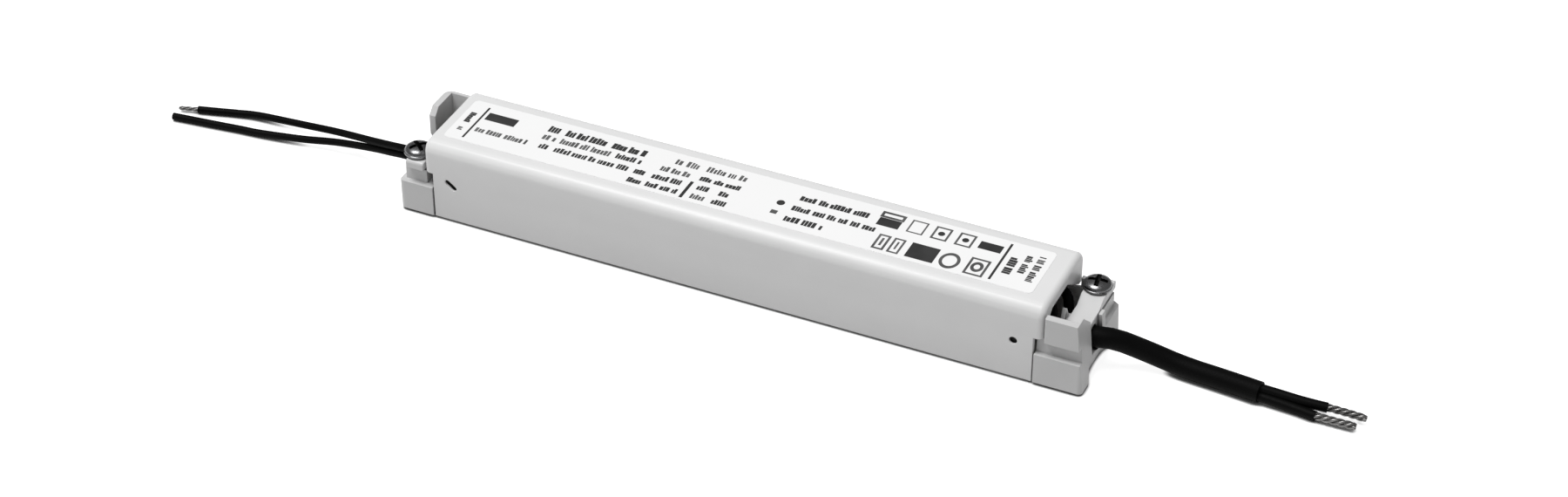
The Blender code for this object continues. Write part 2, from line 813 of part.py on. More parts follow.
def drum_choke(name, centre, radius, height, surface=ferrite):
    """A drum core with its winding between two flanges."""
    x, y = centre
    low = board_top + touch_gap
    flange = 1.2 * mm
    waist = radius - 0.7 * mm
    profile = [
        (0, height), (radius, height), (radius, height - flange), (waist, height - flange - 0.1 * mm),
        (waist, flange + 0.1 * mm), (radius, flange), (radius, 0), (0, 0),
    ]
    body = turned(name, profile, (x, y, low))
    half = radius * 0.55
    with_leads(body, [(x - half, y), (x + half, y)], low + 0.6 * mm)
    return place(body, surface)


def disc(name, centre, radius, thickness, spread, surface):
    """A dipped disc that stands across the board, such as a varistor."""
    x, y = centre
    middle = board_top + touch_gap + 0.8 * mm + radius
    half = thickness / 2
    profile = [
        (0, half), (radius - 0.9 * mm, half), (radius - 0.2 * mm, half - 0.5 * mm), (radius, half - 1.1 * mm),
        (radius, -half + 1.1 * mm), (radius - 0.2 * mm, -half + 0.5 * mm), (radius - 0.9 * mm, -half), (0, -half),
    ]
    body = turned(name, profile, (x, y, middle), axis="X")
    with_leads(body, [(x, y - spread / 2), (x, y + spread / 2)], middle)
    return place(body, surface)


def block(name, centre, size, leads, surface, lift=0.0, round_edge=0.3 * mm):
    """A moulded block with leads at the given offsets from its centre."""
    x, y = centre
    low = board_top + touch_gap + lift
    body = box(
        name, (x - size[0] / 2, y - size[1] / 2, low), (x + size[0] / 2, y + size[1] / 2, low + size[2])
    )
    bevel(body, round_edge, segments=1)
    with_leads(body, [(x + a, y + b) for a, b in leads], low + 0.8 * mm)
    return place(body, surface)


def axial(name, centre, radius, length, spread, surface):
    """A resistor or diode that lies along the board, with both leads bent down."""
    x, y = centre
    middle = board_top + touch_gap + radius
    half = length / 2
    profile = [
        (0, half), (radius * 0.86, half), (radius, half - 0.5 * mm), (radius, half - 1.6 * mm),
        (radius * 0.9, half - 2.0 * mm), (radius * 0.9, -half + 2.0 * mm), (radius, -half + 1.6 * mm),
        (radius, -half + 0.5 * mm), (radius * 0.86, -half), (0, -half),
    ]
    body = turned(name, profile, (x, y, middle), fine_steps, axis="X")
    unite(body, rod(
        f"{name}_lead_across", (y, middle), lead_radius, x - spread / 2 - 0.4 * lead_radius,
        x + spread / 2 + 0.4 * lead_radius, "X", 8,
    ))
    with_leads(body, [(x - spread / 2, y), (x + spread / 2, y)], middle + 0.05 * mm)
    return place(body, surface)


def lying_can(name, centre, radius, length):
    """A round capacitor that lies along the board, with its leads bent down at the sealed end."""
    x, y = centre
    middle = board_top + touch_gap + radius
    half = length / 2
    profile = [
        (0, half), (radius - 0.4 * mm, half), (radius, half - 0.4 * mm), (radius, -half + 2.6 * mm),
        (radius - 0.4 * mm, -half + 2.2 * mm), (radius, -half + 1.8 * mm), (radius, -half + 0.3 * mm),
        (radius - 0.3 * mm, -half), (0, -half),
    ]
    body = turned(name, profile, (x, y, middle), axis="X")
    lead_x = x - half - 0.9 * mm
    lead_z = middle - 0.42 * mm
    spread = radius
    for face in (-1, 1):
        unite(body, rod(
            f"{name}_lead_out_{face}", (y + face * spread / 2, lead_z), lead_radius * 1.1,
            lead_x - lead_radius * 1.3, x - half + 0.6 * mm, "X", 8,
        ))
    with_leads(body, [(lead_x, y - spread / 2), (lead_x, y + spread / 2)], lead_z + 0.05 * mm)
    return place(body, can_sleeve)


# Transformer sizes, about its own middle
core_side_room = 0.8 * mm
core_back = 2.2 * mm
core_leg_share = 0.1333
bobbin_wall = 0.7 * mm
bobbin_room = 0.4 * mm
winding_thickness = 1.4 * mm
winding_height = 1.1 * mm
flange_thickness = 0.8 * mm
flange_proud = 0.4 * mm
core_width = board_width - 2 * core_side_room
core_leg = core_leg_share * core_width
core_window = 2 * touch_gap + bobbin_wall + winding_thickness + flange_proud + bobbin_room
core_centre_leg = core_width - 2 * (core_leg + core_window)
core_half_length = 2 * bay
flange_half_width = core_width / 2 - core_leg - bobbin_room
flange_half_height = (tall_part - bobbin_room) / 2
core_depth = 2 * (flange_half_height - flange_proud - winding_height - bobbin_wall - 2 * touch_gap)


def build_transformer(x, y):
    """An E-core pair, the bobbin that carries its pins, and the taped winding."""
    middle = board_top + touch_gap + flange_half_height + bobbin_room
    half_depth = core_depth / 2
    half_window = core_half_length - core_back
    for side, word in ((-1, "input"), (1, "output")):
        outer = x + side * core_half_length
        inner = x + side * half_window
        meet = x + side * 0.15 * mm
        core = box(
            f"transformer_core_{word}_half", (outer, y - core_width / 2, middle - half_depth),
            (inner, y + core_width / 2, middle + half_depth),
        )
        legs = [
            (-core_width / 2, -core_width / 2 + core_leg),
            (-core_centre_leg / 2, core_centre_leg / 2),
            (core_width / 2 - core_leg, core_width / 2),
        ]
        for i, (low, high) in enumerate(legs):
            unite(core, box(
                f"core_leg_{word}_{i}", (inner + side * 0.5 * mm, y + low, middle - half_depth),
                (meet, y + high, middle + half_depth),
            ))
        place(core, ferrite)

    hole_y = core_centre_leg / 2 + touch_gap
    hole_z = half_depth + touch_gap
    end_x = half_window - touch_gap
    rail_half = core_width / 2 - 1.1 * mm
    bobbin = box(
        "transformer_bobbin", (x - end_x, y - hole_y - bobbin_wall, middle - hole_z - bobbin_wall),
        (x + end_x, y + hole_y + bobbin_wall, middle + hole_z + bobbin_wall),
    )
    pins = []
    for side in (-1, 1):
        unite(bobbin, box(
            f"bobbin_flange_{side}",
            (x + side * end_x, y - flange_half_width, middle - flange_half_height),
            (x + side * (end_x - flange_thickness), y + flange_half_width, middle + flange_half_height),
        ))
        rail_x = x + side * (end_x + 1.3 * mm)
        unite(bobbin, box(
            f"bobbin_rail_{side}",
            (x + side * (end_x - 0.5 * mm), y - rail_half, middle - flange_half_height - bobbin_room),
            (x + side * (end_x + 2.6 * mm), y + rail_half, middle - half_depth - 0.6 * mm),
        ))
        pins += [(rail_x, y + share * (rail_half - 1.2 * mm)) for share in (-1, -1 / 3, 1 / 3, 1)]
    cut(bobbin, box(
        "bobbin_hole", (x - 9 * mm, y - hole_y, middle - hole_z), (x + 9 * mm, y + hole_y, middle + hole_z)
    ))
    with_leads(bobbin, pins, middle - flange_half_height + 0.7 * mm, 0.32 * mm)
    place(bobbin, bobbin_plastic)

    span = end_x - flange_thickness - touch_gap
    half_y = flange_half_width - flange_proud
    half_z = flange_half_height - flange_proud
    outline = rounded([
        (y - half_y, middle - half_z, 1.4 * mm), (y + half_y, middle - half_z, 1.4 * mm),
        (y + half_y, middle + half_z, 1.4 * mm), (y - half_y, middle + half_z, 1.4 * mm),
    ])
    winding = extruded("transformer_winding", outline, x - span, x + span, "X")
    room_y = hole_y + bobbin_wall + touch_gap
    room_z = hole_z + bobbin_wall + touch_gap
    cut(winding, box(
        "winding_hole", (x - 9 * mm, y - room_y, middle - room_z), (x + 9 * mm, y + room_y, middle + room_z)
    ))
    place(winding, winding_tape)


def along(count):
    """The place along the board that many bays from its middle."""
    return cover_middle + count * bay


def corner_leads(size, along_room, across_room):
    """Four leads, set in from the corners of a block of that size."""
    a = size[0] / 2 - along_room
    b = size[1] / 2 - across_room
    return [(-a, -b), (-a, b), (a, -b), (a, b)]


def build_electronics():
    can("input_fuse", (along(-17.92), front_y), front_lane / 2 - 0.2 * mm, tall_part - 3.0 * mm, 5.08 * mm, fuse_cap)
    radius = (tall_part - 2.2 * mm) / 2
    disc(
        "surge_varistor", (along(-15.85), board_width / 2 - edge_room - radius - 0.2 * mm),
        radius, 3.8 * mm, 5.0 * mm, blue_lacquer,
    )
    length = 4.33 * bay
    block(
        "suppression_capacitor", (along(-12.82), rear_y), (length, rear_lane - 0.2 * mm, tall_part),
        [(1.5 * mm - length / 2, 0), (length / 2 - 1.5 * mm, 0)], film_box,
    )
    drum_choke("input_choke", (along(-13.75), front_y), front_lane / 2 - 0.1 * mm, tall_part - 1.0 * mm)
    size = (2.8 * bay, front_lane - 2.4 * mm, 3.2 * mm)
    block(
        "bridge_rectifier", (along(-10.48), front_y), size, corner_leads(size, 1.0 * mm, 0.5 * mm), black_epoxy
    )
    radius = min(tall_part - 0.6 * mm, front_lane + 1.5 * mm) / 2
    y = radius + 0.2 * mm - board_width / 2
    lying_can("bulk_capacitor_1", (along(-5.28), y), radius, 5.33 * bay)
    lying_can("bulk_capacitor_2", (along(0.85), y), radius, 5.33 * bay)
    for i, count in enumerate((-7.62, -3.62)):
        axial(
            f"startup_resistor_{i + 1}", (along(count), rear_y), 1.15 * mm, 2.13 * bay, 3.33 * bay, resistor_body
        )
    reach = rear_lane / 2 - 0.1 * mm
    chip_legs = [(a * mm, b) for a in (-1.9, -0.63, 0.63, 1.9) for b in (-reach, reach)]
    build_chip("controller_chip", (along(-0.22), rear_y), (5.0 * mm, 2 * reach - 2.1 * mm, 1.5 * mm), chip_legs)
    block(
        "snubber_capacitor", (along(2.1), rear_y), (1.67 * bay, rear_lane / 2 + 0.1 * mm, tall_part - 4.2 * mm),
        [at(-1.3, 0), at(1.3, 0)], film_box,
    )
    block(
        "switching_transistor", (along(4.3), rear_y + 0.6 * mm), (2.33 * bay, 2.6 * mm, tall_part - 1.6 * mm),
        [at(-2.0, 0), at(0, 0), at(2.0, 0)], black_epoxy, lift=0.6 * mm,
    )
    build_transformer(along(7.92), 0)
    block(
        "voltage_reference", (along(10.52), rear_y), at(2.4, 4.4, 4.4),
        [at(0, -1.75), at(0, 0), at(0, 1.75)], black_epoxy, lift=0.8 * mm,
    )
    radius = min(tall_part - 2.6 * mm, front_lane - 0.5 * mm) / 2
    disc(
        "safety_capacitor", (along(11.45), edge_room + radius + 0.4 * mm - board_width / 2),
        radius, 3.6 * mm, 5.0 * mm, blue_lacquer,
    )
    size = (1.4 * bay, rear_lane - 0.1 * mm, 3.4 * mm)
    block("optocoupler", (along(11.9), rear_y), size, corner_leads(size, 0.83 * mm, 0.65 * mm), black_epoxy)
    radius = 2.5 * mm
    axial(
        "output_diode", (along(14.85), radius + 0.2 * mm - board_width / 2), radius, 3.07 * bay, 4.33 * bay,
        black_epoxy,
    )
    radius = min(rear_lane / 2 + 0.9 * mm, 1.34 * bay)
    for i, count in enumerate((14.25, 17.12)):
        can(
            f"output_capacitor_{i + 1}", (along(count), board_width / 2 - radius - 0.2 * mm), radius, tall_part,
            3.5 * mm, can_sleeve,
        )
    drum_choke(
        "output_choke", (along(18.58), 3.7 * mm - board_width / 2), 3.2 * mm, tall_part - 3.0 * mm
    )


def build_chip(name, centre, size, legs):
    """A surface-mounted chip with gull-wing legs that rest on the board."""
    x, y = centre
    low = board_top + touch_gap
    body = box(
        name, (x - size[0] / 2, y - size[1] / 2, low), (x + size[0] / 2, y + size[1] / 2, low + size[2])
    )
    for i, (a, b) in enumerate(legs):
        side = 1 if b > 0 else -1
        unite(body, box(
            f"{name}_leg_{i}", (x + a - 0.2 * mm, y + side * (size[1] / 2 - 0.3 * mm), low + 0.05 * mm),
            (x + a + 0.2 * mm, y + b, low + 0.3 * mm),
        ))
    return place(body, black_epoxy)


def build_board():
    middle = cover_middle
    board = box(
        "circuit_board", (middle - board_length / 2, -board_width / 2, board_underside),
        (middle + board_length / 2, board_width / 2, board_top),
    )
    holes = bmesh.new()
    for x, y in lead_places:
        made = bmesh.ops.create_cone(
            holes, cap_ends=True, segments=8, radius1=lead_hole / 2, radius2=lead_hole / 2,
            depth=board_thickness * 3,
        )
        bmesh.ops.translate(
            holes, verts=made["verts"], vec=Vector((x, y, board_underside + board_thickness / 2))
        )
    cut(board, linked_mesh("lead_holes", holes))
    return place(board, board_laminate)


# Routes, in millimetres
input_wire_rear_route = [
    (-59.5, -0.8, 5.62), (-62.5, -1.2, 6.1), (-66.0, -1.8, 7.5), (-69.0, -2.0, 8.1), (-73.9, -2.0, 8.1),
    (-77.8, -1.95, 7.95), (-81.4, -1.15, 7.15), (-86.8, 0.0, 6.05), (-96.6, 2.65, 3.75), (-105.9, 3.9, 2.2),
    (-116.9, 4.35, 1.1), (-122.0, 3.5, 0.84), (-126.4, 2.3, 0.82), (-130.3, 1.25, 0.82),
]
input_tip_rear_route = [(-130.6, 1.17, 0.82), (-132.4, 0.62, 0.82), (-134.3, 0.05, 0.82)]
input_wire_front_route = [
    (-59.5, -3.8, 5.62), (-62.5, -3.3, 5.65), (-66.0, -2.3, 6.0), (-69.0, -2.0, 6.2), (-73.9, -2.0, 6.2),
    (-77.9, -1.9, 6.15), (-81.4, -1.2, 5.4), (-86.9, -0.1, 4.25), (-95.4, 0.6, 2.75), (-103.6, 0.0, 1.6),
    (-113.6, -1.0, 0.9), (-118.5, -1.4, 0.82), (-123.6, -2.0, 0.82), (-129.2, -2.6, 0.82), (-133.7, -3.1, 0.82),
]
output_cord_route = [
    (68.0, -1.4, 7.3), (70.0, -1.4, 7.3), (72.2, -1.4, 7.35), (74.6, -0.8, 7.35), (76.6, 0.2, 6.75),
    (79.2, 1.35, 5.5), (83.2, 2.5, 3.9), (87.3, 3.15, 2.6), (91.5, 3.1, 2.15), (96.0, 2.8, 2.13),
    (100.6, 2.4, 2.13), (104.8, 2.0, 2.13),
]
output_core_rear_route = [
    (105.5, 2.7, 2.65), (108.0, 2.9, 2.55), (111.8, 3.0, 2.3), (115.0, 3.2, 2.1), (118.0, 3.5, 1.9),
]
output_core_front_route = [
    (105.2, 1.45, 1.42), (107.0, 1.38, 1.3), (108.9, 1.33, 1.15), (112.1, 1.2, 0.97), (116.1, 0.7, 0.95),
]
output_strand_rear_route = [(118.35, 3.53, 1.88), (122.2, 3.6, 1.7), (126.0, 3.5, 1.5)]
output_strand_front_route = [(116.45, 0.68, 0.95), (120.4, 0.72, 0.85), (124.2, 0.8, 0.76)]
inner_core_rear_route = [
    (67.1, -0.3, 6.7), (66.4, 1.2, 7.8), (65.7, 2.5, 9.6), (65.0, 3.4, 11.4), (64.0, 3.7, 12.2),
    (62.4, 3.9, 11.6), (60.8, 3.8, 9.6), (60.0, 3.6, 7.6), (59.4, 3.2, 5.1),
]
inner_core_front_route = [
    (67.1, -2.5, 6.7), (66.3, -4.0, 7.6), (65.5, -4.9, 9.0), (64.8, -4.0, 11.0), (64.0, -2.2, 12.2),
    (62.6, -1.8, 11.8), (61.0, -2.8, 9.8), (60.0, -3.8, 7.6), (59.5, -4.3, 5.1),
]


def build_wires():
    wires = (
        ("input_wire_rear", input_wire_rear_route, wire_diameter, black_pvc),
        ("input_wire_rear_tip", input_tip_rear_route, strand_diameter, tinned_copper),
        ("input_wire_front", input_wire_front_route, wire_diameter, black_pvc),
        ("output_cord", output_cord_route, cord_diameter, black_pvc),
        ("output_core_rear", output_core_rear_route, core_diameter, black_pvc),
        ("output_core_front", output_core_front_route, core_diameter, black_pvc),
        ("output_strand_rear", output_strand_rear_route, cord_strand_diameter, tinned_copper),
        ("output_strand_front", output_strand_front_route, cord_strand_diameter, tinned_copper),
        ("inner_core_rear", inner_core_rear_route, core_diameter, black_pvc),
        ("inner_core_front", inner_core_front_route, core_diameter, black_pvc),
    )
    for name, route, diameter, surface in wires:
        spacing = 1.0 if name == "output_cord" else 2.0
        resolution = 3 if name == "output_cord" else 2
        tube(name, [at(*point) for point in route], diameter, surface, spacing, resolution)


build_tray()
build_cover()
for case_end in ends:
    build_clamp(case_end)
    build_screw(case_end)
build_electronics()
build_board()
build_wires()
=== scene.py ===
import math
import random

import bmesh
import bpy
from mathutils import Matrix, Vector


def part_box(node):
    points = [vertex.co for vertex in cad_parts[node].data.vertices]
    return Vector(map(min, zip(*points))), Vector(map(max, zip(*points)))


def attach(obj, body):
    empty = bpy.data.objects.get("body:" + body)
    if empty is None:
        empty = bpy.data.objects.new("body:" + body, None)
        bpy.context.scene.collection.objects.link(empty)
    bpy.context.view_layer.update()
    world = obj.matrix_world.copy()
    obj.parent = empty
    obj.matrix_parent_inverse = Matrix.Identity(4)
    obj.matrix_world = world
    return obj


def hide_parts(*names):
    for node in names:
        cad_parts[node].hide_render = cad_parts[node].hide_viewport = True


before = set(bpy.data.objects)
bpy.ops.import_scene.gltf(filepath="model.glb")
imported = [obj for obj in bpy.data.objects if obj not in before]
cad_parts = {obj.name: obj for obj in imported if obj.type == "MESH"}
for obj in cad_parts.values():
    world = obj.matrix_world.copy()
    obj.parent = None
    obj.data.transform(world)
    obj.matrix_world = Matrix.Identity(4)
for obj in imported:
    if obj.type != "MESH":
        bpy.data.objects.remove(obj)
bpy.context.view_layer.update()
scene = bpy.context.scene
mm = 0.001
print("case loaded:", len(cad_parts), "nodes")


# Camera: where the picture was taken, with the output end nearest
view = {
    "place": (231.73, -489.30, 401.51),  # mm
    "azimuth": 24.68,  # degrees
    "elevation": 36.22,
    "lens": 77.8,
    "sensor": 36,
}


def addCamera():
    side = math.radians(view["azimuth"])
    rise = math.radians(view["elevation"])
    level = math.cos(rise)
    back = Vector((math.sin(side) * level, -math.cos(side) * level, math.sin(rise)))
    lensData = bpy.data.cameras.new("pictureCamera")
    lensData.lens = view["lens"]
    lensData.sensor_width = view["sensor"]
    lensData.clip_start = 0.01
    obj = bpy.data.objects.new("pictureCamera", lensData)
    obj.location = Vector(view["place"]) * mm
    obj.rotation_euler = back.to_track_quat("Z", "Y").to_euler()
    scene.collection.objects.link(obj)
    scene.camera = obj


addCamera()
print("camera placed")


# Finishes: each one is a node set-up around a Principled shader
def startFinish(name, colour, roughness, metallic=0.0):
    made = bpy.data.materials.new(name)
    made.use_nodes = True
    tree = made.node_tree
    shader = tree.nodes["Principled BSDF"]
    shader.inputs["Base Color"].default_value = (*colour, 1)
    shader.inputs["Roughness"].default_value = roughness
    shader.inputs["Metallic"].default_value = metallic
    where = tree.nodes.new("ShaderNodeTexCoord")
    return made, tree, shader, where.outputs["Object"]


def addNoise(tree, where, size, detail, stretch=None):
    # size is the width of one blotch, in mm
    if stretch:
        mapping = tree.nodes.new("ShaderNodeMapping")
        mapping.inputs["Scale"].default_value = stretch
        tree.links.new(where, mapping.inputs["Vector"])
        where = mapping.outputs["Vector"]
    noise = tree.nodes.new("ShaderNodeTexNoise")
    noise.inputs["Scale"].default_value = 1 / (size * mm)
    noise.inputs["Detail"].default_value = detail
    tree.links.new(where, noise.inputs["Vector"])
    return noise.outputs["Fac"]


def addRange(tree, source, low, high):
    # noise keeps mostly between 0.3 and 0.7, which is spread over low to high
    span = tree.nodes.new("ShaderNodeMapRange")
    span.inputs["From Min"].default_value = 0.3
    span.inputs["From Max"].default_value = 0.7
    span.inputs["To Min"].default_value = low
    span.inputs["To Max"].default_value = high
    tree.links.new(source, span.inputs["Value"])
    return span.outputs["Result"]


def addTint(tree, shader, source, dark, light):
    mix = tree.nodes.new("ShaderNodeMix")
    mix.data_type = "RGBA"
    mix.inputs["A"].default_value = (*dark, 1)
    mix.inputs["B"].default_value = (*light, 1)
    tree.links.new(source, mix.inputs["Factor"])
    tree.links.new(mix.outputs["Result"], shader.inputs["Base Color"])


def addBump(tree, shader, source, depth, roundEdge=0.0):
    # depth and roundEdge in mm
    bump = tree.nodes.new("ShaderNodeBump")
    bump.inputs["Strength"].default_value = 1.0
    bump.inputs["Distance"].default_value = depth * mm
    tree.links.new(source, bump.inputs["Height"])
    if roundEdge:
        soften = tree.nodes.new("ShaderNodeBevel")
        soften.samples = 6
        soften.inputs["Radius"].default_value = roundEdge * mm
        tree.links.new(soften.outputs["Normal"], bump.inputs["Normal"])
    tree.links.new(bump.outputs["Normal"], shader.inputs["Normal"])


def shade(colour, factor):
    return tuple(min(1.0, value * factor) for value in colour)


# painted shade in hollows: how open a spot is, from 0 to 1, where a hollow is darkest and where it ends
hollows = {
    "samples": 8,
    "closed": 0.08,
    "open": 0.5,
    "openAlone": 0.56,
    "shade": 0.03,
}


def addPaintedShade(tree, shader, colour, reach, strength, alone):
    # painted shade: darker in hollows; those that other pieces make count too, unless alone is set; reach in
    # mm
    near = tree.nodes.new("ShaderNodeAmbientOcclusion")
    near.samples = hollows["samples"]
    near.only_local = alone
    near.inputs["Distance"].default_value = reach * mm
    span = tree.nodes.new("ShaderNodeMapRange")
    span.inputs["From Min"].default_value = hollows["closed"]
    span.inputs["From Max"].default_value = hollows["openAlone"] if alone else hollows["open"]
    span.inputs["To Min"].default_value = strength
    span.inputs["To Max"].default_value = 0
    tree.links.new(near.outputs["AO"], span.inputs["Value"])
    mix = tree.nodes.new("ShaderNodeMix")
    mix.data_type = "RGBA"
    mix.inputs["B"].default_value = (*shade(colour, hollows["shade"]), 1)
    tree.links.new(span.outputs["Result"], mix.inputs["Factor"])
    tree.links.new(shader.inputs["Base Color"].links[0].from_socket, mix.inputs["A"])
    tree.links.new(mix.outputs["Result"], shader.inputs["Base Color"])


def moulded(
    name, colour, roughness, grain=0.25, depth=0.004, mottle=0.03, roundEdge=0.12, gloss=0.5,
    corners=0.0, reach=4, alone=False,
):
    # plastic: fine grain under broad, faint blotches, with painted shade in hollows when corners is set;
    # grain, depth, roundEdge and reach in mm
    made, tree, shader, where = startFinish(name, colour, roughness)
    shader.inputs["Specular IOR Level"].default_value = gloss
    fine = addNoise(tree, where, grain, 4)
    broad = addNoise(tree, where, grain * 40, 2)
    blotches = addRange(tree, broad, 0, 1)
    addTint(tree, shader, blotches, shade(colour, 1 - mottle), shade(colour, 1 + mottle))
    if corners:
        addPaintedShade(tree, shader, colour, reach, corners, alone)
    polish = addRange(tree, fine, roughness - 0.05, roughness + 0.06)
    tree.links.new(polish, shader.inputs["Roughness"])
    addBump(tree, shader, fine, depth, roundEdge)
    return made


def plated(name, colour, roughness, streak=0.35, depth=0.002, roundEdge=0.06, corners=0.0, reach=0.5):
    # metal: fine streaks over soft clouds, with painted shade in hollows when corners is set
    made, tree, shader, where = startFinish(name, colour, roughness, 1.0)
    streaks = addNoise(tree, where, streak, 5, (1, 1, 6))
    clouds = addNoise(tree, where, streak * 8, 2)
    addTint(tree, shader, addRange(tree, clouds, 0, 1), shade(colour, 0.82), shade(colour, 1.15))
    if corners:
        addPaintedShade(tree, shader, colour, reach, corners, True)
    polish = addRange(tree, streaks, roughness - 0.08, roughness + 0.14)
    tree.links.new(polish, shader.inputs["Roughness"])
    addBump(tree, shader, streaks, depth, roundEdge)
    return made


def laminate(name, colour, roughness):
    made, tree, shader, where = startFinish(name, colour, roughness)
    fibres = addNoise(tree, where, 0.5, 5, (1, 5, 5))
    addTint(tree, shader, addRange(tree, fibres, 0, 1), shade(colour, 0.8), shade(colour, 1.15))
    addBump(tree, shader, fibres, 0.006)
    return made


# corners and reach give the white plastics painted shade in their seams, gaps and hollows
whiteCover = moulded(
    "whiteCover", (0.77, 0.77, 0.77), 0.40, grain=0.22, depth=0.003, mottle=0.012, roundEdge=0.16,
    corners=0.95, reach=9, alone=True,
)
whiteTray = moulded(
    "whiteTray", (0.60, 0.60, 0.60), 0.42, grain=0.22, depth=0.004, mottle=0.03, roundEdge=0.2,
    corners=0.9, reach=5,
)
whiteClamp = moulded(
    "whiteClamp", (0.64, 0.64, 0.64), 0.38, grain=0.2, depth=0.003, mottle=0.02, roundEdge=0.2,
    corners=0.3,
)
blackSheath = moulded(
    "blackSheath", (0.002, 0.002, 0.002), 0.6, grain=0.35, depth=0.02, mottle=0.3, roundEdge=0, gloss=0.06
)
blackCore = moulded(
    "blackCore", (0.002, 0.002, 0.002), 0.55, grain=0.3, depth=0.008, mottle=0.3, roundEdge=0, gloss=0.06
)
labelFilm = moulded("labelFilm", (0.92, 0.92, 0.92), 0.46, grain=0.5, depth=0.001, mottle=0.008, roundEdge=0)
blackInk = moulded("blackInk", (0.02, 0.02, 0.02), 0.6, grain=0.12, depth=0.001, mottle=0.4, roundEdge=0)
greyInk = moulded("greyInk", (0.10, 0.10, 0.10), 0.6, grain=0.12, depth=0.001, mottle=0.4, roundEdge=0)
zincScrew = plated("zincScrew", (0.17, 0.17, 0.174), 0.25)
# near-black finish for the screws' cross recesses: painted shade
paintedRecessShade = plated("paintedRecessShade", (0.02, 0.02, 0.02), 0.5, roundEdge=0)
# corners gives the tinned wire painted shade between its strands
tinnedWire = plated("tinnedWire", (0.20, 0.197, 0.194), 0.28, streak=0.15, roundEdge=0, corners=0.95)
boardLaminate = laminate("boardLaminate", (0.50, 0.42, 0.20), 0.5)
blackEpoxy = moulded("blackEpoxy", (0.03, 0.03, 0.03), 0.5, grain=0.15, depth=0.006, mottle=0.15)
ferriteGrey = moulded("ferriteGrey", (0.07, 0.07, 0.075), 0.62, grain=0.12, depth=0.01, mottle=0.2)
bobbinBlack = moulded("bobbinBlack", (0.05, 0.05, 0.055), 0.42, mottle=0.1)
windingTape = moulded(
    "windingTape", (0.75, 0.58, 0.10), 0.3, grain=1.2, depth=0.02, mottle=0.06, roundEdge=0.2
)
canSleeve = moulded("canSleeve", (0.04, 0.07, 0.16), 0.3, grain=0.6, depth=0.008, mottle=0.12, roundEdge=0.2)
filmBox = moulded("filmBox", (0.72, 0.60, 0.14), 0.4, grain=0.2, depth=0.005, mottle=0.05)
blueLacquer = moulded(
    "blueLacquer", (0.05, 0.18, 0.42), 0.28, grain=0.9, depth=0.03, mottle=0.1, roundEdge=0.25
)
resistorBlue = moulded(
    "resistorBlue", (0.30, 0.52, 0.55), 0.45, grain=0.4, depth=0.01, mottle=0.08, roundEdge=0.15
)
fuseCap = moulded("fuseCap", (0.35, 0.12, 0.05), 0.4, grain=0.3, depth=0.006, mottle=0.08)
print("finishes made")


def newObject(name, data):
    obj = bpy.data.objects.new(name, data)
    scene.collection.objects.link(obj)
    return obj


def fromShape(name, shape):
    mesh = bpy.data.meshes.new(name)
    shape.to_mesh(mesh)
    shape.free()
    return newObject(name, mesh)


def smoothByAngle(obj, angle):
    obj.data.shade_smooth()
    obj.data.set_sharp_from_angle(angle=math.radians(angle))


def keepResult(obj):
    # turns the modifiers' result into the object's own mesh
    graph = bpy.context.evaluated_depsgraph_get()
    made = bpy.data.meshes.new_from_object(obj.evaluated_get(graph))
    obj.modifiers.clear()
    obj.data = made


def skinLoops(shape, loops):
    # joins loops of equal length into a closed form
    count = len(loops[0])
    for one, two in zip(loops, loops[1:]):
        for k in range(count):
            after = (k + 1) % count
            shape.faces.new((one[k], one[after], two[after], two[k]))
    shape.faces.new(loops[0])
    shape.faces.new(loops[-1])


def finishPiece(obj, finish, slot, *nodes):
    obj.data.materials.clear()
    obj.data.materials.append(finish)
    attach(obj, "root")
    if nodes:
        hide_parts(*nodes)
    return obj


# Wires and cord: routes and sizes in mm
wires = {
    "diameter": 1.55,
    "tipDiameter": 0.95,
    "rear": [
        (-59.5, -0.8, 5.62), (-62.5, -1.2, 6.1), (-66.0, -1.8, 7.5), (-69.0, -2.0, 8.1), (-73.9, -2.0, 8.1),
        (-77.8, -1.95, 7.95), (-81.4, -1.15, 7.15), (-86.8, 0.0, 6.05), (-96.6, 2.65, 3.75),
        (-105.9, 3.9, 2.2), (-116.9, 4.35, 1.1), (-122.0, 3.5, 0.84), (-126.4, 2.3, 0.82),
        (-130.3, 1.25, 0.82),
    ],
    "rearTip": [(-129.9, 1.36, 0.82), (-132.4, 0.62, 0.82), (-134.3, 0.05, 0.82)],
    "front": [
        (-59.5, -3.8, 5.62), (-62.5, -3.3, 5.65), (-66.0, -2.3, 6.0), (-69.0, -2.0, 6.2), (-73.9, -2.0, 6.2),
        (-77.9, -1.9, 6.15), (-81.4, -1.2, 5.4), (-86.9, -0.1, 4.25), (-95.4, 0.6, 2.75), (-103.6, 0.0, 1.6),
        (-113.6, -1.0, 0.9), (-118.5, -1.4, 0.82), (-123.6, -2.0, 0.82), (-129.2, -2.6, 0.82),
        (-133.7, -3.1, 0.82),
    ],
}
